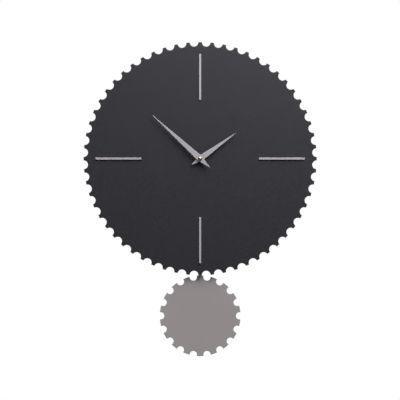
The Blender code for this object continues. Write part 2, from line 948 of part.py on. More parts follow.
hand("hour_hand", HOUR_ANGLE, HOUR_TIP, HOUR_TAIL, 2.8, 47.6, 48.2)
hand("minute_hand", MINUTE_ANGLE, MINUTE_TIP, MINUTE_TAIL, 1.9, 50.6, 51.2)
piece(
    "hour_hand_collet",
    ring(0, 0, 2.8, 4.0, 46.4, 47.3, 16),
    BRASS,
    pivot=(0, 0, 47.0),
)
piece(
    "minute_hand_collet",
    ring(0, 0, 1.9, 3.0, 49.5, 50.3, 16),
    BRASS,
    pivot=(0, 0, 50.0),
)
dome = []
for k in range(0, 4):
    t = math.radians(22 * k + 8)
    dome.append((2.9 * math.cos(t), 52.4 + 1.95 * math.sin(t)))
piece(
    "hand_cap_nut",
    turned(
        (0, 0, 0),
        "d",
        [(1.9, 51.5), (2.7, 51.5), (2.9, 51.7)] + dome + [(0.0, 54.35), (0.0, 53.6), (1.9, 53.6)],
        16,
    ),
    BRASS,
    pivot=(0, 0, 52.0),
)

# ---------------------------------------------------------------- pendulum

leader_right = (
    [(0.0, PIVOT_Z + 3.5)]
    + arc(0, PIVOT_Z, 3.5, 60, -58.997, 4)
    + arc(0, MAGNET_Z, 6.5, 62.514, -62.514, 6)
    + arc(0, -63.0, 3.0, 0, -60, 2)
    + [(0.0, -66.0)]
)
piece(
    "pendulum_leader",
    slab([mirrored(leader_right)], LEADER_BACK, LEADER_FRONT),
    WHITE_PLASTIC,
    add=[
        cylinder(0, PIVOT_Z, 2.9, 24.1, 26.7, 12),
        turned(
            (0, PEG_Z, 0),
            "d",
            [
                (0.0, 25.4),
                (1.5, 25.4),
                (1.5, 28.0),
                (2.6, 28.0),
                (2.6, 29.0),
                (0.0, 29.0),
            ],
            12,
        ),
    ],
    cut=[
        cylinder(0, PIVOT_Z, 1.4, 23.0, 28.0, 10),
        cylinder(0, MAGNET_Z, 4.3, 23.0, 28.0, 16),
    ],
    pivot=(0, PIVOT_Z, 25.4),
)
piece(
    "pendulum_magnet",
    cylinder(0, MAGNET_Z, 3.9, 23.0, 28.0, 16),
    MAGNET,
    pivot=(0, PIVOT_Z, 25.4),
)

hook_start = math.degrees(math.asin(1.8 / 3.0))
hook = arc(0, PEG_Z, 1.8, 180, 0, 6) + arc(
    0, PEG_Z - KEYHOLE_DROP, 3.0, 90 - hook_start, -270 + hook_start, 12
)
ROD_SCREWS_Z = (-200.0, -252.0)
rod_right = (
    [(0.0, -57.0)]
    + arc(3.0, -59.0, 2.0, 90, 0, 3)
    + [(5.0, -73.0), (2.0, -78.0), (2.0, -180.0), (6.0, -187.0), (6.0, -259.0)]
    + arc(0.0, -259.0, 6.0, -22, -68, 2)
    + [(0.0, -265.0)]
)
piece(
    "pendulum_rod",
    slab(
        [mirrored(rod_right), hook]
        + [circle(0, z, 1.4, 8) for z in ROD_SCREWS_Z],
        ROD_BACK,
        ROD_FRONT,
    ),
    ZINC,
    pivot=(0, PIVOT_Z, 27.0),
)
piece(
    "pendulum_disc",
    slab(
        [scalloped(0, BOB_Z, BOB_R, BOB_TEETH, BOB_NOTCH_R, BOB_NOTCH_AT, 7, 2)],
        BOB_BACK,
        BOB_FRONT,
    ),
    GREY_LACQUER,
    cut=[cylinder(0, z, 1.4, 27.0, 31.5, 8) for z in ROD_SCREWS_Z],
    pivot=(0, PIVOT_Z, 30.0),
)
for label, z in zip(("upper", "lower"), ROD_SCREWS_Z):
    piece(
        f"rod_screw_{label}",
        turned(
            (0, z, 0),
            "d",
            [
                (0.0, 24.9),
                (2.4, 24.9),
                (2.8, 25.3),
                (2.8, 26.2),
                (1.0, 26.2),
                (1.0, 31.2),
                (0.0, 31.2),
            ],
            12,
        ),
        ZINC,
        pivot=(0, PIVOT_Z, 25.5),
    )
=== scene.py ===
"""The looks of the pendulum wall clock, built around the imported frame.

Lengths in the shape code are in millimetres: x and z from the hand axis as the dial is read, and d
out from the wall. at() turns them into the frame's metres.
"""

import math

import bmesh
import bpy
import numpy as np
from mathutils import Matrix, Vector


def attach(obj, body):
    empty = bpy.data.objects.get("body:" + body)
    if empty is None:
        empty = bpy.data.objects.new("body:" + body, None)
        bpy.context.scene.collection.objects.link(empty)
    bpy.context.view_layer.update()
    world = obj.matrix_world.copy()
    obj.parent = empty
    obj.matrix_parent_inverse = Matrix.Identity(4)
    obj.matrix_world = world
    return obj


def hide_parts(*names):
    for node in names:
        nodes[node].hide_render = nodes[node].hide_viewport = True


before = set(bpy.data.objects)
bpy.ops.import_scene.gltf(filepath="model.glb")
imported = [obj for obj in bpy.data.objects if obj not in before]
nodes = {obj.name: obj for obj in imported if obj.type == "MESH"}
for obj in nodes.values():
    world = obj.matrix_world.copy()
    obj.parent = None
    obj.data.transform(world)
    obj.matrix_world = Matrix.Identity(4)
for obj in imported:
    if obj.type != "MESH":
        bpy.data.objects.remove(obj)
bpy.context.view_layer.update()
scene = bpy.context.scene

MM = 0.001
HAND_AXIS_Z = -58.0
BOB_Z = -229.6
PIVOT_Z = -24.0
MAGNET_Z = -42.0
PEG_Z = -62.0
MINUTE_ANGLE, HOUR_ANGLE = -47.7, 54.4
KNOB = (12.3511, 7.8685)
MINUTE_WHEEL = (5.3033, 5.3033)


# ================================================================ outlines and meshes


def at(x, z, d):
    return Vector((x * MM, -d * MM, (z + HAND_AXIS_Z) * MM))


def arc(cx, cz, r, a0, a1, n):
    return [
        (
            cx + r * math.cos(math.radians(a0 + (a1 - a0) * k / n)),
            cz + r * math.sin(math.radians(a0 + (a1 - a0) * k / n)),
        )
        for k in range(n + 1)
    ]


def circle(cx, cz, r, n=48, start=0.0):
    return [
        (
            cx + r * math.cos(math.radians(start) + 2 * math.pi * k / n),
            cz + r * math.sin(math.radians(start) + 2 * math.pi * k / n),
        )
        for k in range(n)
    ]


def rounded(x0, x1, z0, z1, r, n=10):
    return (
        arc(x1 - r, z1 - r, r, 0, 90, n)
        + arc(x0 + r, z1 - r, r, 90, 180, n)
        + arc(x0 + r, z0 + r, r, 180, 270, n)
        + arc(x1 - r, z0 + r, r, 270, 360, n)
    )


def mirrored(right):
    return right + [(-x, z) for x, z in reversed(right) if abs(x) > 1e-9]


def scalloped(cx, cz, tip_r, teeth, notch_r, notch_at, n_arc, n_tip):
    cos_half = (tip_r**2 + notch_at**2 - notch_r**2) / (2 * tip_r * notch_at)
    half = math.degrees(math.acos(cos_half))
    cos_open = (notch_at**2 + notch_r**2 - tip_r**2) / (2 * notch_at * notch_r)
    opening = math.degrees(math.acos(cos_open))
    pitch = 360.0 / teeth
    points = []
    for k in range(teeth):
        tooth = 90 + pitch * k
        tip_half = pitch / 2 - half
        points += arc(cx, cz, tip_r, tooth - tip_half, tooth + tip_half, n_tip)
        middle = tooth + pitch / 2
        nx = cx + notch_at * math.cos(math.radians(middle))
        nz = cz + notch_at * math.sin(math.radians(middle))
        inner = arc(
            nx, nz, notch_r, middle + 180 + opening, middle + 180 - opening, n_arc
        )
        points += inner[1:-1]
    return points


def counter_clockwise(points):
    area = sum(
        points[k - 1][0] * points[k][1] - points[k][0] * points[k - 1][1]
        for k in range(len(points))
    )
    return list(points) if area > 0 else list(reversed(points))


def offset(points, amount):
    """A counter-clockwise outline moved inwards."""
    p = np.array(points, float)
    ahead, behind = np.roll(p, -1, 0) - p, p - np.roll(p, 1, 0)

    def left(v):
        n = np.stack([-v[:, 1], v[:, 0]], 1)
        return n / np.maximum(np.linalg.norm(n, axis=1, keepdims=True), 1e-12)

    a, b = left(behind), left(ahead)
    share = np.maximum(1 + (a * b).sum(1, keepdims=True), 0.25)
    return [tuple(q) for q in p + (a + b) / share * amount]


def soften(points, r, above=30.0, n=3, keep=None):
    """Rounds the corners of a closed outline. keep(point) says which corners stay."""
    out = []
    count = len(points)
    for i in range(count):
        p = np.array(points[i], float)
        if keep is not None and keep(points[i]):
            out.append(tuple(p))
            continue
        u = np.array(points[i - 1], float) - p
        v = np.array(points[(i + 1) % count], float) - p
        lu, lv = np.linalg.norm(u), np.linalg.norm(v)
        if lu < 1e-9 or lv < 1e-9:
            out.append(tuple(p))
            continue
        u, v = u / lu, v / lv
        turn = math.pi - math.acos(max(-1.0, min(1.0, float(u @ v))))
        if math.degrees(turn) < above:
            out.append(tuple(p))
            continue
        t = min(r * math.tan(min(turn, 2.6) / 2), 0.45 * lu, 0.45 * lv)
        for k in range(n + 1):
            s = k / n
            out.append(
                tuple((1 - s) ** 2 * (p + u * t) + 2 * s * (1 - s) * p + s**2 * (p + v * t))
            )
    return out


def fill(bm, rings, normal):
    edges = []
    for loop in rings:
        for k in range(len(loop)):
            edges.append(bm.edges.get((loop[k], loop[(k + 1) % len(loop)])))
    bmesh.ops.triangle_fill(bm, use_beauty=True, edges=edges, normal=normal)


def plate(outer, holes, d0, d1, back=0.3, front=0.3, seg=3):
    """A flat plate from d0 to d1 whose edges are rounded by back and front."""
    bm = bmesh.new()
    first, last = [], []
    for loop, inward in [(outer, 1)] + [(h, -1) for h in holes]:
        loop = counter_clockwise(loop)
        steps = []
        for edge, where, way in ((back, d0, 1), (front, d1, -1)):
            part = []
            if edge < 1e-6:
                part = [(0.0, where)]
            else:
                for t in range(seg + 1):
                    a = math.pi / 2 * t / seg
                    part.append(
                        (edge * (1 - math.sin(a)), where + way * edge * (1 - math.cos(a)))
                    )
            steps += part if way == 1 else list(reversed(part))
        rings = []
        for inset, d in steps:
            moved = offset(loop, inset * inward) if inset > 1e-9 else loop
            rings.append([bm.verts.new(at(x, z, d)) for x, z in moved])
        for low, high in zip(rings, rings[1:]):
            for k in range(len(low)):
                m = (k + 1) % len(low)
                bm.faces.new((low[k], low[m], high[m], high[k]))
        first.append(rings[0])
        last.append(rings[-1])
    fill(bm, first, (0, 1, 0))
    fill(bm, last, (0, -1, 0))
    bmesh.ops.recalc_face_normals(bm, faces=bm.faces[:])
    return bm


def block(x0, x1, z0, z1, d0, d1, corner=0.0, edge=0.0):
    outline = (
        rounded(x0, x1, z0, z1, corner, 5)
        if corner
        else [(x0, z0), (x1, z0), (x1, z1), (x0, z1)]
    )
    return plate(outline, [], d0, d1, edge, edge, 2)


def turned(centre, axis, profile, n=64, closed=True):
    """A turned piece. profile lists (radius, distance along the axis) round its section."""
    bm = bmesh.new()
    cx, cz, cd = centre

    def spot(r, s, k):
        a = 2 * math.pi * k / n
        u, w = r * math.cos(a), r * math.sin(a)
        if axis == "d":
            return at(cx + u, cz + w, cd + s)
        if axis == "x":
            return at(cx + s, cz + u, cd + w)
        return at(cx + u, cz + s, cd + w)

    rings = []
    for r, s in profile:
        if r < 1e-9:
            rings.append([bm.verts.new(spot(0, s, 0))] * n)
        else:
            rings.append([bm.verts.new(spot(r, s, k)) for k in range(n)])
    for j in range(len(rings) if closed else len(rings) - 1):
        low, high = rings[j], rings[(j + 1) % len(rings)]
        for k in range(n):
            m = (k + 1) % n
            corners = []
            for v in (low[k], low[m], high[m], high[k]):
                if v not in corners:
                    corners.append(v)
            if len(corners) > 2:
                bm.faces.new(corners)
    bmesh.ops.recalc_face_normals(bm, faces=bm.faces[:])
    return bm


def eased(profile, r, n=3):
    """A turned section with its corners rounded, apart from those on the axis."""
    return soften(profile, r, 25.0, n, keep=lambda p: p[0] < 1e-6)


def turn_clockwise(bm, degrees, about=(0.0, 0.0)):
    centre = at(about[0], about[1], 0)
    spin = Matrix.Rotation(math.radians(degrees), 4, Vector((0, 1, 0)))
    bmesh.ops.transform(
        bm,
        matrix=Matrix.Translation(centre) @ spin @ Matrix.Translation(-centre),
        verts=bm.verts[:],
    )
    return bm


def joined(*parts):
    """Several closed shells as one mesh."""
    whole = bmesh.new()
    for bm in parts:
        scrap = bpy.data.meshes.new("scrap")
        bm.to_mesh(scrap)
        bm.free()
        whole.from_mesh(scrap)
        bpy.data.meshes.remove(scrap)
    return whole


def boolean(base, add=(), cut=()):
    """Exact union and difference, back as one bmesh."""
    data = bpy.data.meshes.new("work")
    base.to_mesh(data)
    base.free()
    obj = bpy.data.objects.new("work", data)
    scene.collection.objects.link(obj)
    for operation, shapes in (("UNION", add), ("DIFFERENCE", cut)):
        for bm in shapes:
            tool_data = bpy.data.meshes.new("tool")
            bm.to_mesh(tool_data)
            bm.free()
            tool = bpy.data.objects.new("tool", tool_data)
            scene.collection.objects.link(tool)
            modifier = obj.modifiers.new("cut", "BOOLEAN")
            modifier.operation = operation
            modifier.solver = "EXACT"
            modifier.object = tool
            graph = bpy.context.evaluated_depsgraph_get()
            result = bpy.data.meshes.new_from_object(obj.evaluated_get(graph))
            obj.modifiers.clear()
            old = obj.data
            obj.data = result
            bpy.data.meshes.remove(old)
            bpy.data.objects.remove(tool, do_unlink=True)
            bpy.data.meshes.remove(tool_data)
    done = bmesh.new()
    done.from_mesh(obj.data)
    old = obj.data
    bpy.data.objects.remove(obj, do_unlink=True)
    bpy.data.meshes.remove(old)
    bmesh.ops.remove_doubles(done, verts=done.verts[:], dist=1e-7)
    bmesh.ops.dissolve_limit(
        done, angle_limit=math.radians(0.5), verts=done.verts[:], edges=done.edges[:]
    )
    return done


# ================================================================ materials


class Paint:
    """One procedural material, built from noise in the object's own coordinates."""

    def __init__(self, name, metallic=0.0, specular=0.5, coat=0.0, coat_rough=0.2,
                 aniso=0.0, sheen=0.0, subsurface=0.0):
        self.material = bpy.data.materials.new(name)
        self.material.use_nodes = True
        self.tree = self.material.node_tree
        self.shader = self.tree.nodes["Principled BSDF"]
        put = self.shader.inputs
        put["Metallic"].default_value = metallic
        put["Specular IOR Level"].default_value = specular
        if coat:
            put["Coat Weight"].default_value = coat
            put["Coat Roughness"].default_value = coat_rough
        if aniso:
            put["Anisotropic"].default_value = aniso
        if sheen:
            put["Sheen Weight"].default_value = sheen
            put["Sheen Roughness"].default_value = 0.5
        if subsurface:
            put["Subsurface Weight"].default_value = subsurface
            put["Subsurface Scale"].default_value = 0.0015
        self.space = self.node("ShaderNodeTexCoord").outputs["Object"]
        self.height = None

    def node(self, kind, **settings):
        made = self.tree.nodes.new(kind)
        for key, value in settings.items():
            setattr(made, key, value)
        return made

    def link(self, a, b):
        self.tree.links.new(a, b)

    def mapped(self, stretch=(1, 1, 1), turn=0.0, move=(0, 0, 0)):
        """The object's coordinates, moved, turned about Y and then stretched."""
        source = self.space
        if turn or any(move):
            first = self.node("ShaderNodeMapping")
            first.inputs["Location"].default_value = move
            self.link(source, first.inputs["Vector"])
            source = first.outputs["Vector"]
            if turn:
                second = self.node("ShaderNodeMapping")
                second.inputs["Rotation"].default_value = (0, math.radians(turn), 0)
                self.link(source, second.inputs["Vector"])
                source = second.outputs["Vector"]
        last = self.node("ShaderNodeMapping")
        last.inputs["Scale"].default_value = stretch
        self.link(source, last.inputs["Vector"])
        return last.outputs["Vector"]

    def noise(self, scale, detail=3.0, rough=0.55, stretch=(1, 1, 1), turn=0.0,
              move=(0, 0, 0), warp=0.0):
        made = self.node("ShaderNodeTexNoise")
        made.inputs["Scale"].default_value = scale
        made.inputs["Detail"].default_value = detail
        made.inputs["Roughness"].default_value = rough
        made.inputs["Distortion"].default_value = warp
        self.link(self.mapped(stretch, turn, move), made.inputs["Vector"])
        return made.outputs["Fac"]

    def radial(self, x, z, scale, detail=2.0):
        """Noise in rings round an axis parallel to Y through (x, z), in millimetres."""
        spot = at(x, z, 0)
        moved = self.mapped((1, 0, 1), 0.0, (-spot.x, 0, -spot.z))
        length = self.node("ShaderNodeVectorMath", operation="LENGTH")
        self.link(moved, length.inputs[0])
        made = self.node("ShaderNodeTexNoise", noise_dimensions="1D")
        made.inputs["Scale"].default_value = scale
        made.inputs["Detail"].default_value = detail
        self.link(length.outputs["Value"], made.inputs["W"])
        return made.outputs["Fac"]

    def cells(self, scale, stretch=(1, 1, 1)):
        made = self.node("ShaderNodeTexVoronoi", feature="F1")
        made.inputs["Scale"].default_value = scale
        self.link(self.mapped(stretch), made.inputs["Vector"])
        grey = self.node("ShaderNodeSeparateColor")
        self.link(made.outputs["Color"], grey.inputs["Color"])
        return grey.outputs[0]

    def bands(self, scale, axis="Z", warp=0.0, profile="SIN"):
        made = self.node(
            "ShaderNodeTexWave", wave_type="BANDS", bands_direction=axis, wave_profile=profile
        )
        made.inputs["Scale"].default_value = scale
        made.inputs["Distortion"].default_value = warp
        self.link(self.mapped(), made.inputs["Vector"])
        return made.outputs["Fac"]

    def ranged(self, fac, low, high, a=0.35, b=0.65):
        made = self.node("ShaderNodeMapRange")
        made.inputs["From Min"].default_value = a
        made.inputs["From Max"].default_value = b
        made.inputs["To Min"].default_value = low
        made.inputs["To Max"].default_value = high
        self.link(fac, made.inputs["Value"])
        return made.outputs["Result"]

    def ramp(self, fac, stops, constant=False):
        made = self.node("ShaderNodeValToRGB")
        strip = made.color_ramp
        if constant:
            strip.interpolation = "CONSTANT"
        while len(strip.elements) < len(stops):
            strip.elements.new(0.5)
        for element, (spot, colour) in zip(strip.elements, stops):
            element.position = spot
            element.color = (*colour, 1.0)
        self.link(fac, made.inputs["Fac"])
        return made.outputs["Color"]

    def mixed(self, fac, a, b, kind="MIX"):
        made = self.node("ShaderNodeMix", data_type="RGBA", blend_type=kind)
        for socket, value in ((made.inputs[0], fac), (made.inputs[6], a), (made.inputs[7], b)):
            if isinstance(value, (int, float)):
                socket.default_value = value
            elif isinstance(value, tuple):
                socket.default_value = (*value, 1.0)
            else:
                self.link(value, socket)
        return made.outputs[2]

    def colour(self, fac, dark, light, a=0.3, b=0.7):
        self.set_colour(self.ramp(fac, [(a, dark), (b, light)]))
        return self

    def set_colour(self, socket):
        self.link(socket, self.shader.inputs["Base Color"])

    def roughness(self, fac, low, high):
        self.link(self.ranged(fac, low, high), self.shader.inputs["Roughness"])
        return self

    def bump(self, fac, height_mm, strength=1.0):
        made = self.node("ShaderNodeBump")
        made.inputs["Strength"].default_value = strength
        made.inputs["Distance"].default_value = height_mm * MM
        self.link(fac, made.inputs["Height"])
        if self.height is not None:
            self.link(self.height, made.inputs["Normal"])
        self.height = made.outputs["Normal"]
        self.link(self.height, self.shader.inputs["Normal"])
        return self


def scaled(colour, k):
    return tuple(min(1.0, c * k) for c in colour)


def lacquer(name, base, spread=0.08, low=0.42, high=0.52, specular=0.4, coat=0.0,
            tint=(1.0, 1.0, 1.0)):
    """Sprayed satin lacquer over board: even colour, fine dust nibs and faint orange peel."""
    p = Paint(name, specular=specular, coat=coat, coat_rough=0.35)
    p.shader.inputs["Specular Tint"].default_value = (*tint, 1.0)
    cloudy = p.noise(9, 3, 0.5)
    fine = p.noise(900, 2, 0.6)
    both = p.mixed(0.5, cloudy, fine)
    p.colour(both, scaled(base, 1 - spread), scaled(base, 1 + spread), 0.36, 0.64)
    p.roughness(p.noise(420, 3, 0.6), low, high)
    p.bump(p.noise(260, 2, 0.5), 0.012)
    p.bump(p.noise(2600, 2, 0.6), 0.006)
    return p.material


def moulded(name, base, low=0.45, high=0.6, grain=0.014, scale=2600, spread=0.12,
            specular=0.45, subsurface=0.0, sheen=0.0):
    """Injection-moulded plastic with a spark-eroded grain."""
    p = Paint(name, specular=specular, subsurface=subsurface, sheen=sheen)
    p.colour(p.noise(60, 4, 0.6), scaled(base, 1 - spread), scaled(base, 1 + spread))
    p.roughness(p.noise(1500, 2, 0.6), low, high)
    p.bump(p.noise(scale, 3, 0.65), grain)
    return p.material


def plated(name, base, low=0.26, high=0.42, spangle=0.1, tint=None):
    """Zinc- or nickel-plated sheet steel: rolled grain, faint crystals and handling marks."""
    p = Paint(name, metallic=1.0)
    crystals = p.cells(260)
    cloud = p.noise(45, 4, 0.6)
    both = p.mixed(0.4, cloud, crystals)
    light = scaled(base, 1 + spangle)
    dark = scaled(tint or base, 1 - spangle)
    p.colour(both, dark, light, 0.25, 0.75)
    p.roughness(p.noise(180, 4, 0.65, stretch=(1, 1, 0.12)), low, high)
    p.bump(p.noise(1500, 2, 0.6, stretch=(1, 1, 0.08)), 0.003)
    return p.material


def brushed(name, base, along="z", turn=0.0, low=0.3, high=0.42, metallic=1.0, aniso=0.0,
            depth=0.004, spread=0.07, specular=0.5):
    """Satin metal with a fine linear grain along one direction."""
    stretch = {"z": (1, 1, 0.03), "x": (0.03, 1, 1), "y": (1, 0.03, 1)}[along]
    p = Paint(name, metallic=metallic, aniso=aniso, specular=specular)
    grain = p.noise(5200, 3, 0.6, stretch=stretch, turn=turn)
    cloud = p.noise(70, 3, 0.5)
    both = p.mixed(0.35, grain, cloud)
    p.colour(both, scaled(base, 1 - spread), scaled(base, 1 + spread), 0.35, 0.65)
    p.roughness(grain, low, high)
    p.bump(grain, depth)
    return p.material


def lathed(name, base, x, z, low=0.18, high=0.34, metallic=1.0, depth=0.006, spread=0.09,
           scale=4200):
    """Metal with the fine circular marks that turning leaves."""
    p = Paint(name, metallic=metallic)
    rings = p.radial(x, z, scale)
    stain = p.noise(220, 4, 0.6)
    both = p.mixed(0.5, rings, stain)
    p.colour(both, scaled(base, 1 - spread), scaled(base, 1 + spread), 0.32, 0.68)
    p.roughness(stain, low, high)
    p.bump(rings, depth)
    return p.material


def rubber(name, base):
    p = Paint(name, specular=0.3, sheen=0.08)
    p.colour(p.noise(320, 4, 0.65), scaled(base, 0.75), scaled(base, 1.35))
    p.roughness(p.noise(700, 3, 0.6), 0.72, 0.88)
    p.bump(p.noise(1100, 3, 0.6), 0.03)
    return p.material


def wound(name):
    """Enamelled copper wire, turn beside turn."""
    p = Paint(name, metallic=0.85)
    turns = p.bands(1250, "Z", 0.4)
    p.colour(turns, (0.20, 0.055, 0.022), (0.62, 0.23, 0.09), 0.1, 0.9)
    p.roughness(p.noise(400, 3, 0.6), 0.25, 0.42)
    p.bump(turns, 0.05)
    return p.material


def pancake(name, x, z):
    """A flat coil seen from its face: rings of copper wire."""
    p = Paint(name, metallic=0.85)
    spot = at(x, z, 0)
    made = p.node("ShaderNodeTexWave", wave_type="RINGS", rings_direction="Y")
    made.inputs["Scale"].default_value = 1250
    made.inputs["Distortion"].default_value = 0.3
    p.link(p.mapped((1, 1, 1), 0.0, (-spot.x, 0, -spot.z)), made.inputs["Vector"])
    turns = made.outputs["Fac"]
    p.colour(turns, (0.20, 0.055, 0.022), (0.62, 0.23, 0.09), 0.1, 0.9)
    p.roughness(p.noise(400, 3, 0.6), 0.25, 0.42)
    p.bump(turns, 0.05)
    return p.material


def board(name):
    """Green solder mask over copper tracks."""
    p = Paint(name, specular=0.5, coat=0.3, coat_rough=0.15)
    brick = p.node("ShaderNodeTexBrick")
    brick.inputs["Scale"].default_value = 260
    brick.inputs["Mortar Size"].default_value = 0.035
    brick.inputs["Mortar Smooth"].default_value = 0.3
    brick.inputs["Color1"].default_value = (0.012, 0.10, 0.035, 1)
    brick.inputs["Color2"].default_value = (0.016, 0.125, 0.045, 1)
    brick.inputs["Mortar"].default_value = (0.035, 0.24, 0.08, 1)
    flat = p.node("ShaderNodeMapping")
    flat.inputs["Rotation"].default_value = (math.radians(90), 0, 0)
    p.link(p.space, flat.inputs["Vector"])
    p.link(flat.outputs["Vector"], brick.inputs["Vector"])
    p.set_colour(p.mixed(p.ranged(p.noise(90, 3), 0.0, 0.35), brick.outputs["Color"],
                         (0.01, 0.07, 0.03)))
    p.roughness(p.noise(500, 3), 0.3, 0.45)
    p.bump(brick.outputs["Fac"], 0.02)
    return p.material


def nylon(name, base, subsurface=0.12):
    """Natural nylon or acetal: waxy, slightly cloudy."""
    p = Paint(name, specular=0.45, subsurface=subsurface)
    p.colour(p.noise(140, 4, 0.6), scaled(base, 0.93), scaled(base, 1.05))
    p.roughness(p.noise(800, 3, 0.6), 0.34, 0.5)
    p.bump(p.noise(1900, 2, 0.6), 0.006)
    return p.material


DIAL = lacquer("black_lacquer", (0.0086, 0.0080, 0.0105), 0.06, 0.39, 0.45, 0.765, tint=(0.889, 0.889, 1.0))
DIAL_REAR = lacquer("black_lacquer_rear", (0.018, 0.0178, 0.020), 0.14, 0.55, 0.72, 0.3)
BOB = lacquer("taupe_lacquer", (0.236, 0.2142, 0.2185), 0.045, 0.42, 0.52, 0.4)
BOB_REAR = lacquer("taupe_lacquer_rear", (0.21, 0.19, 0.195), 0.08, 0.5, 0.65, 0.35)
# the index bars are one satin metal, with the grain along each bar; the upright bars get a lighter, bluer base
# (painted light) and the level bars a darker, warmer base (painted shade) for how the key lamp falls on each
BAR_UPRIGHT_PAINTED_LIGHT = brushed("satin_bar_upright_painted_light", (0.39, 0.385, 0.41), "z", 0.0, 0.42, 0.52, 0.5, depth=0.0015, spread=0.05)
BAR_LEVEL_PAINTED_SHADE = brushed("satin_bar_level_painted_shade", (0.375, 0.36, 0.375), "x", 0.0, 0.42, 0.52, 0.5, depth=0.0015, spread=0.05)
STUD = plated("stud_steel", (0.50, 0.50, 0.51))
HOUR_METAL = brushed("hour_hand_satin", (0.385, 0.375, 0.40), "z", -HOUR_ANGLE, 0.42, 0.52, 0.55, depth=0.002, spread=0.035)
MINUTE_METAL = brushed("minute_hand_satin", (0.38, 0.37, 0.395), "z", -MINUTE_ANGLE, 0.42, 0.52, 0.55, depth=0.002, spread=0.035)
BRASS_TURNED = lathed("turned_brass", (0.60, 0.47, 0.29), 0, 0)
BRASS_WHEEL = lathed("wheel_brass", (0.66, 0.47, 0.19), 0, 0, 0.22, 0.36)
BRASS_THIRD = lathed("third_wheel_brass", (0.66, 0.47, 0.19), -8.457, -3.078, 0.22, 0.36)
BLACK_NUT = brushed("blackened_steel", (0.028, 0.028, 0.031), "z", 0.0, 0.34, 0.5, 0.7, spread=0.2)
ZINC = plated("zinc_plate", (0.56, 0.575, 0.60), 0.28, 0.44, 0.09, (0.56, 0.565, 0.57))
ROD_ZINC = plated("rod_zinc", (0.54, 0.55, 0.57), 0.26, 0.4, 0.08)
SCREW_ZINC = plated("screw_zinc", (0.60, 0.60, 0.60), 0.22, 0.36, 0.08, (0.60, 0.58, 0.52))
NICKEL = plated("nickel_spring_steel", (0.66, 0.65, 0.62), 0.16, 0.3, 0.06)
IRON = plated("stator_iron", (0.40, 0.40, 0.41), 0.3, 0.48, 0.1)
CAN_STEEL = plated("crystal_can", (0.62, 0.61, 0.58), 0.2, 0.34, 0.06)
MAGNET = plated("magnet_nickel", (0.52, 0.52, 0.53), 0.14, 0.26, 0.05)
ABS = moulded("black_abs", (0.022, 0.022, 0.024), 0.42, 0.58, 0.016, 2400)
ABS_SPACER = moulded("spacer_abs", (0.024, 0.024, 0.026), 0.4, 0.55, 0.012, 2000)
KNOB_WHITE = moulded("knob_plastic", (0.60, 0.59, 0.55), 0.4, 0.52, 0.006, 2200, 0.04,
                     subsurface=0.06)
MARK = moulded("mark_plastic", (0.045, 0.045, 0.048), 0.35, 0.5, 0.006, 2200)
NYLON = nylon("natural_nylon", (0.74, 0.72, 0.65))
NYLON_BLACK = nylon("black_nylon", (0.030, 0.030, 0.033), 0.0)
GEAR_WHITE = nylon("gear_acetal", (0.78, 0.77, 0.73))
GEAR_HOUR = nylon("hour_wheel_acetal", (0.035, 0.035, 0.038), 0.0)
RUBBER_BLACK = rubber("gasket_rubber", (0.020, 0.020, 0.021))
PAD_GREY = rubber("pad_rubber", (0.055, 0.055, 0.057))
EPOXY = moulded("epoxy_blob", (0.010, 0.010, 0.011), 0.22, 0.34, 0.03, 320, 0.3)
COPPER = wound("copper_winding")
COPPER_FLAT = pancake("copper_pancake", 0, MAGNET_Z)
GREEN = board("green_board")
SLEEVE = moulded("cell_sleeve", (0.030, 0.036, 0.050), 0.24, 0.34, 0.004, 900, 0.06, 0.55)
SLEEVE_BAND = brushed("cell_band", (0.50, 0.40, 0.24), "x", 0.0, 0.26, 0.36, 0.9)
CELL_STEEL = lathed("cell_steel", (0.60, 0.60, 0.59), 0, 0, 0.2, 0.34, depth=0.002)


# ================================================================ pieces


def piece(name, bm, body, materials, stands_for=(), bevel=0.0, angle=38.0,
          bevel_segments=2, weighted=True, bevel_angle=42.0):
    data = bpy.data.meshes.new(name)
    bm.to_mesh(data)
    bm.free()
    obj = bpy.data.objects.new(name, data)
    scene.collection.objects.link(obj)
    for material in materials if isinstance(materials, (list, tuple)) else [materials]:
        data.materials.append(material)
    data.shade_smooth()
    data.set_sharp_from_angle(angle=math.radians(angle))
    if bevel:
        edge = obj.modifiers.new("edges", "BEVEL")
        edge.width = bevel * MM
        edge.segments = bevel_segments
        edge.limit_method = "ANGLE"
        edge.angle_limit = math.radians(bevel_angle)
        edge.use_clamp_overlap = True
        edge.harden_normals = False
    if weighted:
        normals = obj.modifiers.new("normals", "WEIGHTED_NORMAL")
        normals.keep_sharp = True
        normals.weight = 60
    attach(obj, body)
    if stands_for:
        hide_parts(*([stands_for] if isinstance(stands_for, str) else stands_for))
    return obj


def paint_faces(obj, index, test):
    """Gives the faces whose centre, in millimetres (x, z, d), passes the test another material."""
    for face in obj.data.polygons:
        c = face.center
        if test(c.x / MM, c.z / MM - HAND_AXIS_Z, -c.y / MM, face.normal):
            face.material_index = index


# ---------------------------------------------------------------- dial

dial_outline = soften(scalloped(0, 0, 169.97, 60, 6.3, 170.0, 22, 3), 0.45)
stud_holes = []
for quarter in range(4):
    a = math.radians(90 * quarter)
    for r in (97.0, 142.5):
        stud_holes.append(circle(r * math.sin(a), r * math.cos(a), 1.1, 24))
dial = piece(
    "dial_board",
    plate(dial_outline, [circle(0, 0, 4.4, 64)], 37.0, 42.0, 0.3, 0.35, 3),
    "clock",
    [DIAL, DIAL_REAR],
    "dial_plate",
    angle=50,
)
paint_faces(dial, 1, lambda x, z, d, n: n.y > 0.9)

# ---------------------------------------------------------------- hour marks

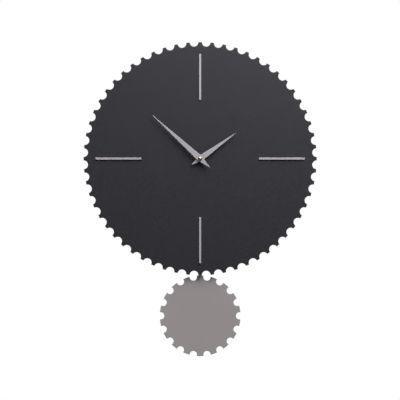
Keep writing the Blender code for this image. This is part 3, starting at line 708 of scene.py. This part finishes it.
BAR_INNER, BAR_OUTER = 85.6, 152.5
for label, degrees, look in (
    ("12", 0, BAR_UPRIGHT_PAINTED_LIGHT),
    ("3", 90, BAR_LEVEL_PAINTED_SHADE),
    ("6", 180, BAR_UPRIGHT_PAINTED_LIGHT),
    ("9", 270, BAR_LEVEL_PAINTED_SHADE),
):
    strip = plate(rounded(-1.5, 1.5, BAR_INNER, BAR_OUTER, 0.5, 6), [], 42.3, 44.3, 0.12, 0.2, 3)
    shapes = [turn_clockwise(strip, degrees)]
    for r in (97.0, 142.5):
        stud = turned((0, r, 0), "d", eased([(0, 40.3), (0.8, 40.3), (0.8, 43.2), (0, 43.2)], 0.15), 24)
        collar = turned((0, r, 0), "d", eased([(0, 42.02), (1.35, 42.02), (1.35, 42.3), (0.9, 42.75), (0, 42.75)], 0.1), 32)
        shapes += [turn_clockwise(stud, degrees), turn_clockwise(collar, degrees)]
    bar = piece(
        f"bar_{label}", joined(*shapes), "clock", [look, STUD],
        f"index_bar_{label}", angle=50,
    )
    paint_faces(bar, 1, lambda x, z, d, n: d < 42.28)

# ---------------------------------------------------------------- hands


def dart(tip, tail, hole_r, d0, d1, degrees):
    outline = [(0.12, tip), (-0.12, tip), (-4.4, 0.5), (-0.2, -tail), (0.2, -tail), (4.4, 0.5)]
    outline = soften(outline, 0.35, 5.0, 4)
    return turn_clockwise(
        plate(outline, [circle(0, 0, hole_r, 48)], d0, d1, 0.06, 0.12, 3), degrees
    )


piece("hour_pointer", dart(65.0, 14.8, 2.8, 47.6, 48.2, HOUR_ANGLE), "hour_hand_group",
      HOUR_METAL, "hour_hand", angle=50)
piece("minute_pointer", dart(94.0, 18.8, 1.9, 50.6, 51.2, MINUTE_ANGLE), "minute_hand_group",
      MINUTE_METAL, "minute_hand", angle=50)
piece(
    "hour_hand_bushing",
    turned((0, 0, 0), "d", eased([(2.8, 46.4), (4.0, 46.4), (4.0, 47.3), (2.8, 47.3)], 0.15), 64),
    "hour_hand_group", BRASS_TURNED, "hour_hand_collet",
)
piece(
    "minute_hand_bushing",
    turned((0, 0, 0), "d", eased([(1.9, 49.5), (3.0, 49.5), (3.0, 50.3), (1.9, 50.3)], 0.15), 64),
    "minute_hand_group", BRASS_TURNED, "minute_hand_collet",
)
cap = [(1.9, 51.5), (2.62, 51.5), (2.82, 51.62), (2.9, 51.85), (2.9, 52.25), (2.78, 52.33), (2.78, 52.45)]
for k in range(0, 15):
    t = math.radians(6 + 84 * k / 14)
    cap.append((2.88 * math.cos(t), 52.42 + 1.92 * math.sin(t)))
cap[-1] = (0.0, 54.34)
cap += [(0.0, 53.6), (1.9, 53.6)]
piece("cap_nut_dome", turned((0, 0, 0), "d", cap, 72), "minute_hand_group", BRASS_TURNED,
      "hand_cap_nut", angle=35)

# ---------------------------------------------------------------- bush, washer, nut, gasket

thread = [(2.8, 32.6), (5.6, 32.6), (5.6, 33.2), (4.0, 33.2), (4.0, 35.2)]
d = 35.2
while d < 45.3:
    thread += [(3.72, d + 0.25), (4.0, d + 0.5)]
    d += 0.5
thread += [(3.95, 45.7), (3.6, 46.0), (3.0, 46.0), (2.8, 45.8)]
piece("movement_bush_thread", turned((0, 0, 0), "d", thread, 64), "clock", BRASS_TURNED,
      "movement_bush", angle=30)
piece(
    "gasket_ring",
    turned((0, 0, 0), "d", eased([(4.6, 34.5), (9.0, 34.5), (9.0, 35.4), (4.6, 35.4)], 0.3, 4), 64),
    "clock", RUBBER_BLACK, "rubber_gasket",
)
piece(
    "washer_ring",
    turned((0, 0, 0), "d", eased([(4.3, 42.3), (6.0, 42.3), (6.0, 42.8), (4.3, 42.8)], 0.12), 64),
    "clock", BLACK_NUT, "bush_washer",
)
hexagon = plate(soften(circle(0, 0, 5.8, 6), 0.25, 20, 4), [circle(0, 0, 4.3, 48)], 43.1, 45.1, 0.1, 0.1, 2)
chamfer = turned((0, 0, 0), "d", [(0, 42.9), (5.25, 42.9), (5.9, 43.35), (5.9, 44.85), (5.2, 45.3), (0, 45.3)], 64)
nut_data = boolean(hexagon)
tool_ring = turned((0, 0, 0), "d", [(8.0, 42.0), (8.0, 46.0), (4.9, 46.0), (4.9, 45.35), (5.85, 44.75), (5.85, 43.45), (4.9, 42.85), (4.9, 42.0)], 64)
chamfer.free()
nut = boolean(nut_data, cut=[tool_ring])
piece("hex_nut", nut, "clock", BLACK_NUT, "bush_nut", angle=28)

# ---------------------------------------------------------------- hanger


def hanger_section(n=12):
    front0, front1 = 35.7, 36.7
    inner, outer = 1.5, 2.5
    low, low_in, up, up_in = [], [], [], []
    cz, cd = 39.0 - inner, front0 - inner
    cz2, cd2 = 40.0 + inner, 2.5 + inner
    for k in range(n + 1):
        t = math.radians(90 * k / n)
        low.append((cz + outer * math.sin(t), cd + outer * math.cos(t)))
        low_in.append((cz + inner * math.sin(t), cd + inner * math.cos(t)))
        up_in.append((cz2 - inner * math.cos(t), cd2 - inner * math.sin(t)))
        up.append((cz2 - outer * math.cos(t), cd2 - outer * math.sin(t)))
    return (
        [(-10.0, front0), (-10.0, front1)] + low + up_in + [(68.0, 2.5), (68.0, 1.5)]
        + list(reversed(up)) + list(reversed(low_in))
    )


def across(section, x0, x1):
    bm = bmesh.new()
    left = [bm.verts.new(at(x0, z, d)) for z, d in section]
    right = [bm.verts.new(at(x1, z, d)) for z, d in section]
    bm.faces.new(left)
    bm.faces.new(list(reversed(right)))
    for k in range(len(section)):
        m = (k + 1) % len(section)
        bm.faces.new((left[k], right[k], right[m], left[m]))
    bmesh.ops.recalc_face_normals(bm, faces=bm.faces[:])
    return bm


def corner_trim(sign, z_edge, up, r, d0, d1):
    cx, cz = sign * (12.0 - r), z_edge - up * r
    pts = [
        (cx + sign * r * math.cos(math.radians(t)), cz + up * r * math.sin(math.radians(t)))
        for t in np.linspace(0, 90, 13)
    ]
    pts = [(sign * 13.0, cz)] + pts + [(cx, z_edge + up), (sign * 13.0, z_edge + up)]
    return plate(pts, [], d0, d1, 0, 0)


slot_start = math.degrees(math.asin(2.2 / 4.5))
keyhole = arc(0, 58.0, 2.2, 180, 0, 16) + arc(0, 50.0, 4.5, 90 - slot_start, -270 + slot_start, 40)
strip = boolean(
    across(hanger_section(), -12.0, 12.0),
    cut=[
        plate(circle(0, 0, 4.3, 48), [], 34.0, 38.0, 0, 0),
        plate(keyhole, [], 0.5, 4.0, 0, 0),
        corner_trim(1, 68.0, 1, 5.0, 0.5, 4.0),
        corner_trim(-1, 68.0, 1, 5.0, 0.5, 4.0),
        corner_trim(1, -10.0, -1, 5.0, 34.0, 38.0),
        corner_trim(-1, -10.0, -1, 5.0, 34.0, 38.0),
        # a pressed stiffening bead's two shallow grooves down the shelf
        block(-7.5, -6.7, 38.6, 39.15, 10.0, 30.0),
        block(6.7, 7.5, 38.6, 39.15, 10.0, 30.0),
    ],
)
piece("hanger_strip", strip, "clock", ZINC, "hanger_plate", bevel=0.14, angle=35)

# ---------------------------------------------------------------- wall spacers and pads

spacer_xz = 120.0 * math.sqrt(0.5)
for side, sign in (("left", -1), ("right", 1)):
    profile = [(0.0, 2.3), (6.9, 2.3), (7.6, 2.9), (7.6, 6.0), (7.25, 6.5), (7.25, 7.2), (7.65, 7.7),
               (7.75, 30.4), (7.4, 30.9), (7.4, 31.6), (8.0, 32.2), (8.0, 36.2), (7.6, 36.7), (0.0, 36.7)]
    piece(
        f"spacer_{side}",
        turned((sign * spacer_xz, -spacer_xz, 0), "d", eased(profile, 0.3), 64),
        "clock", ABS_SPACER, f"wall_spacer_{side}",
    )
    piece(
        f"rubber_foot_{side}",
        turned((sign * spacer_xz, -spacer_xz, 0), "d",
               [(0, 0.0), (4.9, 0.0), (5.4, 0.14), (5.7, 0.28), (6.1, 0.14), (6.5, 0.02), (6.9, 0.04),
                (7.25, 0.2), (7.45, 0.55), (7.5, 1.0), (7.5, 1.8), (7.3, 2.0), (0, 2.0)], 64),
        "clock", PAD_GREY, f"wall_pad_{side}", angle=60,
    )

# ---------------------------------------------------------------- movement case

OUT = rounded(-31, 31, -54, 35, 5.0, 12)
IN = rounded(-29.4, 29.4, -52.4, 33.4, 3.4, 10)
POSTS = ((-26.0, 11.0), (26.0, 11.0), (-26.0, -14.5), (26.9, -14.5))
SCREWS = ((-24.0, -46.5), (24.0, -46.5))


def tube(x, z, r, d0, d1, n=28):
    return plate(circle(x, z, r, n), [], d0, d1, 0, 0)


side_grooves = []
for sign in (-1, 1):
    for k in range(7):
        z = -30 + 2.4 * k
        side_grooves.append(
            block(*sorted((sign * 30.55, sign * 32.0)), z, z + 1.2, 26.0, 32.4)
        )
front_shell = boolean(
    plate(OUT, [], 24.3, 34.2, 0.0, 0.7, 4),
    cut=[plate(IN, [], 23.0, 32.6, 0, 0)],
)
front_shell = boolean(
    front_shell,
    add=[tube(x, z, 1.5, 26.8, 33.4) for x, z in POSTS]
    + [tube(x, z, 3.0, 24.8, 33.4) for x, z in SCREWS]
    + [
        tube(0, PIVOT_Z, 2.6, 27.0, 33.4),
    ],
    cut=[
        tube(0, 0, 4.3, 32.0, 35.0, 40),
        tube(0, 0, 5.9, 31.5, 33.5, 40),
        tube(*MINUTE_WHEEL, 0.9, 31.5, 33.5),
        tube(*KNOB, 1.2, 31.5, 33.5),
        tube(0, PIVOT_Z, 1.4, 26.0, 31.6),
        block(-11, 11, -55, -51.0, 22.0, 30.5),
    ]
    + [tube(x, z, 1.3, 24.0, 31.0) for x, z in SCREWS]
    + side_grooves,
)
front_case = piece("front_shell", front_shell, "clock", ABS, "movement_front_case",
                   bevel=0.12, angle=35)

clips = []
for sign in (-1, 1):
    for z in (-44.0, 22.0):
        x0, x1 = sorted((sign * 30.4, sign * 31.55))
        clips.append(plate(rounded(x0, x1, z - 3.2, z + 3.2, 0.5, 4), [], 19.0, 23.7, 0.25, 0.0))
back_shell = boolean(
    plate(OUT, [], 14.2, 24.0, 0.9, 0.0, 5),
    cut=[plate(IN, [], 15.8, 25.0, 0, 0)],
)
back_shell = boolean(
    back_shell,
    add=[tube(x, z, 1.5, 15.0, 25.2) for x, z in POSTS]
    + [tube(x, z, 3.0, 15.0, 24.5) for x, z in SCREWS]
    + [
        tube(0, PIVOT_Z, 2.6, 15.0, 23.8),
        tube(14.0, -13.75, 1.2, 15.0, 21.3),
        tube(15.5, 3.75, 1.2, 15.0, 21.3),
        plate(rounded(-28.5, 28.5, 15.3, 33.1, 2.6, 6), [], 15.0, 30.7, 0, 0),
        block(-27.0, 27.0, 32.0, 34.2, 15.0, 23.7),
    ]
    + clips,
    cut=[
        plate(rounded(-27.3, 27.3, 16.5, 31.9, 1.0, 5), [], 13.0, 29.5, 0, 0),
        tube(*KNOB, 1.7, 13.0, 17.0),
        tube(0, 0, 0.9, 15.0, 17.0),
        tube(0, PIVOT_Z, 1.4, 16.5, 25.0),
        block(-11, 11, -55, -51.6, 22.0, 25.0),
        # the blank label recess and the thumb notch of the battery bay
        plate(rounded(-19.0, 19.0, -41.0, -14.5, 2.0, 8), [], 13.5, 14.5, 0, 0),
        plate(rounded(-9.0, 9.0, 12.4, 20.0, 3.4, 8), [], 13.5, 15.2, 0, 0),
    ]
    + [tube(x, z, 1.4, 13.0, 26.0) for x, z in SCREWS]
    + [tube(x, z, 2.6, 13.0, 16.5, 40) for x, z in SCREWS],
)
piece("back_shell", back_shell, "clock", ABS, "movement_back_cover",
      bevel=0.15, angle=35)

# raised polarity marks beside the bay, and a raised arrow round the setting knob
marks = [
    block(23.4, 26.6, 12.55, 13.25, 13.85, 14.3, 0.0, 0.08),
    block(24.65, 25.35, 11.3, 14.5, 13.85, 14.3, 0.0, 0.08),
    block(-26.6, -23.4, 12.55, 13.25, 13.85, 14.3, 0.0, 0.08),
]
ring_r = 9.6
curve = arc(*KNOB, ring_r + 0.45, 205, 325, 30) + list(reversed(arc(*KNOB, ring_r - 0.45, 205, 325, 30)))
marks.append(plate(curve, [], 13.85, 14.3, 0.08, 0.0, 2))
tip_a = math.radians(325)
px, pz = KNOB[0] + ring_r * math.cos(tip_a), KNOB[1] + ring_r * math.sin(tip_a)
tx, tz = -math.sin(tip_a), math.cos(tip_a)
nx, nz = math.cos(tip_a), math.sin(tip_a)
marks.append(
    plate(
        [
            (px + nx * 1.5, pz + nz * 1.5),
            (px + tx * 2.6, pz + tz * 2.6),
            (px - nx * 1.5, pz - nz * 1.5),
        ],
        [], 13.85, 14.3, 0.08, 0.0, 2,
    )
)
# a plain raised frame inside the label recess
marks.append(
    plate(rounded(-17.6, 17.6, -39.6, -15.9, 1.4, 8), [rounded(-17.0, 17.0, -39.0, -16.5, 1.0, 8)],
          14.3, 14.6, 0.08, 0.0, 2)
)
piece("case_marks", joined(*marks), "clock", MARK, angle=40)


def cross_screw(x, z, d_head, head_r, head_h, shank_r, d_end, recess_r):
    """A pan-head screw whose head faces the wall, with a tapered cross recess."""
    dome = [(0.0, d_head)]
    for k in range(1, 7):
        t = k / 6
        dome.append((head_r * 0.86 * t, d_head + 0.22 * head_h * t**2.2))
    dome += [(head_r, d_head + 0.55 * head_h), (head_r, d_head + head_h - 0.08),
             (head_r - 0.1, d_head + head_h)]
    body = [(shank_r, d_head + head_h)]
    s = d_head + head_h + 0.6
    while s < d_end - 1.4:
        body += [(shank_r * 0.8, s), (shank_r, s + 0.3)]
        s += 0.6
    body += [(shank_r * 0.8, d_end - 1.0), (0.15, d_end), (0.0, d_end)]
    head = turned((x, z, 0), "d", dome + body, 40)
    w = recess_r * 0.26
    deep = d_head + head_h * 0.75
    cuts = []
    for turn in (45, 135):
        bm = bmesh.new()
        lows = [(-recess_r, -w), (recess_r, -w), (recess_r, w), (-recess_r, w)]
        highs = [(-recess_r * 0.45, -w * 0.6), (recess_r * 0.45, -w * 0.6),
                 (recess_r * 0.45, w * 0.6), (-recess_r * 0.45, w * 0.6)]
        a = [bm.verts.new(at(x + u, z + v, d_head - 0.4)) for u, v in lows]
        b = [bm.verts.new(at(x + u, z + v, deep)) for u, v in highs]
        bm.faces.new(a)
        bm.faces.new(list(reversed(b)))
        for k in range(4):
            m = (k + 1) % 4
            bm.faces.new((a[k], b[k], b[m], a[m]))
        bmesh.ops.recalc_face_normals(bm, faces=bm.faces[:])
        cuts.append(turn_clockwise(bm, turn, (x, z)))
    return boolean(head, cut=cuts)


for side, (x, z) in zip(("left", "right"), SCREWS):
    piece(f"case_screw_head_{side}", cross_screw(x, z, 14.6, 2.1, 1.6, 0.9, 30.6, 1.35), "clock",
          SCREW_ZINC, f"case_screw_{side}", angle=35, weighted=False)

# ---------------------------------------------------------------- setting knob

knurl = []
teeth = 44
for k in range(teeth):
    for share, r in ((0.0, 6.72), (0.28, 6.98), (0.5, 7.0), (0.72, 6.98)):
        a = 2 * math.pi * (k + share) / teeth
        knurl.append((KNOB[0] + r * math.cos(a), KNOB[1] + r * math.sin(a)))
disc = plate(knurl, [], 9.0, 13.6, 0.45, 0.25, 3)
knob = boolean(
    disc,
    add=[turned((*KNOB, 0), "d", [(0, 12.0), (1.3, 12.0), (1.3, 27.3), (0, 27.3)], 32)],
    cut=[
        turned((*KNOB, 0), "d", [(0, 8.0), (5.0, 8.0), (5.0, 8.95), (4.4, 9.5), (0, 9.65)], 56),
    ],
)
grip = turned((*KNOB, 0), "d", [(0, 9.3), (1.5, 9.3), (1.5, 9.7), (0, 9.7)], 32)
piece("knob_disc", joined(knob, grip), "setting_knob_group", KNOB_WHITE, None,
      angle=35)

# ---------------------------------------------------------------- battery and contacts

cell_profile = [
    (0.0, -25.25), (4.6, -25.25), (4.9, -25.12), (6.3, -25.12), (6.75, -24.95), (7.02, -24.6),
    (7.1, -24.2), (7.1, -23.75), (7.06, -23.7), (7.1, -23.6),
    (7.1, 15.6), (7.1, 22.4), (7.06, 22.75), (6.9, 23.1), (6.75, 23.25), (6.75, 23.5),
    (6.5, 23.85), (6.1, 24.02), (3.4, 24.02), (2.95, 24.12), (2.72, 24.4), (2.7, 24.9),
    (2.55, 25.15), (2.2, 25.25), (0.0, 25.25),
]
cell = piece(
    "dry_cell", turned((0, 24.2, 22.0), "x", cell_profile, 72), "battery_cell",
    [SLEEVE, SLEEVE_BAND, CELL_STEEL], "battery", angle=40,
)
paint_faces(cell, 2, lambda x, z, d, n: x > 22.9 or x < -24.3)
paint_faces(cell, 1, lambda x, z, d, n: 15.6 < x < 22.6)

plus = boolean(
    block(26.0, 26.6, 18.5, 29.9, 15.5, 28.0, 0.0, 0.0),
    add=[turned((0, 24.2, 22.0), "x", [(0, 26.3), (3.2, 26.3), (3.0, 26.0), (2.5, 25.7), (2.1, 25.6), (0, 25.6)], 40)],
)
piece("contact_plus", plus, "clock", NICKEL, "battery_contact_positive",
      bevel=0.08, angle=35)
coil = bpy.data.curves.new("contact_spring", "CURVE")
coil.dimensions = "3D"
coil.bevel_depth = 0.24 * MM
coil.bevel_resolution = 3
coil.use_fill_caps = True
line = coil.splines.new("POLY")
turns, count = 2.6, 110
line.points.add(count)
for k in range(count + 1):
    t = k / count
    a = 2 * math.pi * turns * t
    r = 4.3 - 1.9 * t
    spot = at(-26.02 + 0.2 * t, 24.2 + r * math.cos(a), 22.0 + r * math.sin(a))
    line.points[k].co = (*spot, 1.0)
spring = bpy.data.objects.new("contact_spring", coil)
scene.collection.objects.link(spring)
coil.materials.append(NICKEL)
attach(spring, "clock")
piece("contact_minus", block(-26.8, -26.2, 18.5, 29.9, 15.5, 28.0), "clock", NICKEL,
      "battery_contact_negative", bevel=0.08, angle=35)

# ---------------------------------------------------------------- pendulum

leader_right = (
    [(0.0, PIVOT_Z + 3.5)]
    + arc(0, PIVOT_Z, 3.5, 84, -58.997, 18)
    + arc(0, MAGNET_Z, 6.5, 62.514, -62.514, 26)
    + arc(0, -63.0, 3.0, 0, -60, 8)
    + [(0.0, -66.0)]
)
leader = plate(
    soften(mirrored(leader_right), 0.8, 20, 4),
    [circle(0, PIVOT_Z, 1.4, 32), circle(0, MAGNET_Z, 4.3, 48)], 24.6, 26.2, 0.2, 0.2, 3,
)
hub = turned((0, PIVOT_Z, 0), "d", eased([(1.4, 24.1), (2.9, 24.1), (2.9, 26.7), (1.4, 26.7)], 0.15), 40)
peg = turned((0, PEG_Z, 0), "d",
             eased([(0.0, 25.0), (1.5, 25.0), (1.5, 28.0), (2.6, 28.0), (2.6, 29.0), (0.0, 29.0)], 0.15), 40)
piece("leader_arm", joined(leader, hub, peg), "pendulum_drive", NYLON_BLACK, "pendulum_leader",
      angle=40)
piece("drive_magnet",
      turned((0, MAGNET_Z, 0), "d", eased([(0, 23.0), (3.9, 23.0), (3.9, 28.0), (0, 28.0)], 0.25), 56),
      "pendulum_drive", MAGNET, "pendulum_magnet")

hook_start = math.degrees(math.asin(1.8 / 3.0))
hook = arc(0, PEG_Z, 1.8, 180, 0, 16) + arc(0, PEG_Z - 8.0, 3.0, 90 - hook_start, -270 + hook_start, 30)
rod_right = (
    [(0.0, -57.0)]
    + arc(3.0, -59.0, 2.0, 90, 0, 8)
    + [(5.0, -73.0), (2.0, -78.0), (2.0, -180.0), (6.0, -187.0), (6.0, -259.0)]
    + arc(0.0, -259.0, 6.0, -10, -84, 12)
    + [(0.0, -265.0)]
)
piece(
    "rod_strip",
    plate(soften(mirrored(rod_right), 1.2, 20, 5),
          [hook, circle(0, -200, 1.4, 32), circle(0, -252, 1.4, 32)], 26.5, 27.7, 0.16, 0.16, 3),
    "pendulum", ROD_ZINC, "pendulum_rod", angle=40,
)
bob_outline = soften(scalloped(0, BOB_Z, 58.98, 18, 5.3, 57.6, 26, 8), 0.45)
bob = piece(
    "bob_board", plate(bob_outline, [], 28.0, 33.0, 0.3, 0.35, 3), "pendulum", [BOB, BOB_REAR],
    "pendulum_disc", angle=50,
)
paint_faces(bob, 1, lambda x, z, d, n: n.y > 0.9)
for label, z in (("upper", -200.0), ("lower", -252.0)):
    piece(f"rod_screw_head_{label}", cross_screw(0, z, 24.9, 2.8, 1.3, 1.0, 31.2, 1.7), "pendulum",
          SCREW_ZINC, f"rod_screw_{label}", angle=35, weighted=False)

# ---------------------------------------------------------------- CAD nodes that stay, with their finishes

STAY = {
    "gear_plate": NYLON,
    "circuit_board": GREEN,
    "quartz_crystal": CAN_STEEL,
    "controller_chip": EPOXY,
    "step_motor_stator": IRON,
    "step_coil_core": IRON,
    "step_coil_bobbin": NYLON,
    "step_coil_winding": COPPER,
    "pendulum_coil": COPPER_FLAT,
    "pendulum_pivot_pin": NICKEL,
    "rotor_pinion": GEAR_WHITE,
    "rotor_magnet": MAGNET,
    "intermediate_wheel": GEAR_WHITE,
    "seconds_wheel": BRASS_WHEEL,
    "third_wheel": BRASS_THIRD,
    "centre_wheel": BRASS_WHEEL,
    "minute_arbor": BRASS_TURNED,
    "minute_wheel": GEAR_WHITE,
    "hour_wheel": GEAR_HOUR,
    "setting_knob": KNOB_WHITE,
}
shown = [o for o in nodes.values() if not o.hide_render]
for obj in shown:
    material = STAY[obj.name]
    if len(obj.material_slots) == 0:
        obj.data.materials.append(material)
    for place in obj.material_slots:
        place.material = material

# ================================================================ studio

scene.view_settings.view_transform = "Standard"
scene.view_settings.look = "None"
scene.view_settings.exposure = 0.0
scene.view_settings.gamma = 1.0

FRONT_AMBIENT, REAR_AMBIENT = 0.09, 0.6
world = bpy.data.worlds.new("studio")
scene.world = world
world.use_nodes = True
tree = world.node_tree
tree.nodes.clear()
out = tree.nodes.new("ShaderNodeOutputWorld")
mix = tree.nodes.new("ShaderNodeMixShader")
path = tree.nodes.new("ShaderNodeLightPath")
soft = tree.nodes.new("ShaderNodeBackground")
soft.inputs["Color"].default_value = (0.97, 0.97, 1.0, 1.0)
where = tree.nodes.new("ShaderNodeTexCoord")
split = tree.nodes.new("ShaderNodeSeparateXYZ")
tree.links.new(where.outputs["Generated"], split.inputs["Vector"])
behind = tree.nodes.new("ShaderNodeMapRange")
behind.inputs["From Min"].default_value = -0.1
behind.inputs["From Max"].default_value = 0.45
behind.inputs["To Min"].default_value = FRONT_AMBIENT
behind.inputs["To Max"].default_value = REAR_AMBIENT
tree.links.new(split.outputs["Y"], behind.inputs["Value"])
tree.links.new(behind.outputs["Result"], soft.inputs["Strength"])
white = tree.nodes.new("ShaderNodeBackground")
white.inputs["Color"].default_value = (1.0, 1.0, 1.0, 1.0)
white.inputs["Strength"].default_value = 1.0
tree.links.new(path.outputs["Is Camera Ray"], mix.inputs["Fac"])
tree.links.new(soft.outputs["Background"], mix.inputs[1])
tree.links.new(white.outputs["Background"], mix.inputs[2])
tree.links.new(mix.outputs["Shader"], out.inputs["Surface"])


def area_light(name, place, target, size, watts, colour=(1.0, 1.0, 1.0)):
    data = bpy.data.lights.new(name, "AREA")
    data.shape = "DISK"
    data.size = size
    data.energy = watts
    data.color = colour
    obj = bpy.data.objects.new(name, data)
    scene.collection.objects.link(obj)
    obj.location = place
    obj.rotation_mode = "QUATERNION"
    obj.rotation_quaternion = (Vector(target) - Vector(place)).to_track_quat("-Z", "Y")
    return obj


area_light("key", (0.45, -1.15, 1.35), (0.0, 0.0, -0.15), 1.7, 77.0, (1.0, 0.99, 0.985))
low_fill = area_light("low_fill", (-0.9, -1.3, -1.15), (0.0, 0.0, -0.15), 1.2, 13.0)
low_fill.visible_glossy = False
area_light("rear_fill", (-0.8, 1.9, 1.2), (0.0, 0.0, -0.12), 1.6, 26.0)

floor_data = bpy.data.meshes.new("studio_floor")
half = 5.4
floor_data.from_pydata(
    [(-half, -half, -1.25), (half, -half, -1.25), (half, half, -1.25), (-half, half, -1.25)],
    [], [(0, 1, 2, 3)],
)
floor = bpy.data.objects.new("studio_floor", floor_data)
scene.collection.objects.link(floor)
ground = Paint("pale_floor", specular=0.1)
ground.colour(ground.noise(3, 3), (0.78, 0.78, 0.78), (0.82, 0.82, 0.82))
ground.roughness(ground.noise(40, 3), 0.8, 0.95)
ground.bump(ground.noise(220, 3), 0.1)
ground.shader.inputs["Emission Color"].default_value = (1.0, 1.0, 1.0, 1.0)
ground.shader.inputs["Emission Strength"].default_value = 0.6
floor_data.materials.append(ground.material)
# the floor lights nothing: the clock hangs well above it
floor.visible_diffuse = False
floor.visible_glossy = False

camera_data = bpy.data.cameras.new("camera")
camera_data.sensor_width = 36.0
camera_data.lens = 185.25
camera_data.clip_start = 0.05
camera_data.clip_end = 60.0
camera = bpy.data.objects.new("camera", camera_data)
scene.collection.objects.link(camera)
camera.location = (-0.0002, -3.042, -0.11825)
camera.rotation_euler = (math.radians(90), 0, 0)
scene.camera = camera

bpy.context.view_layer.update()
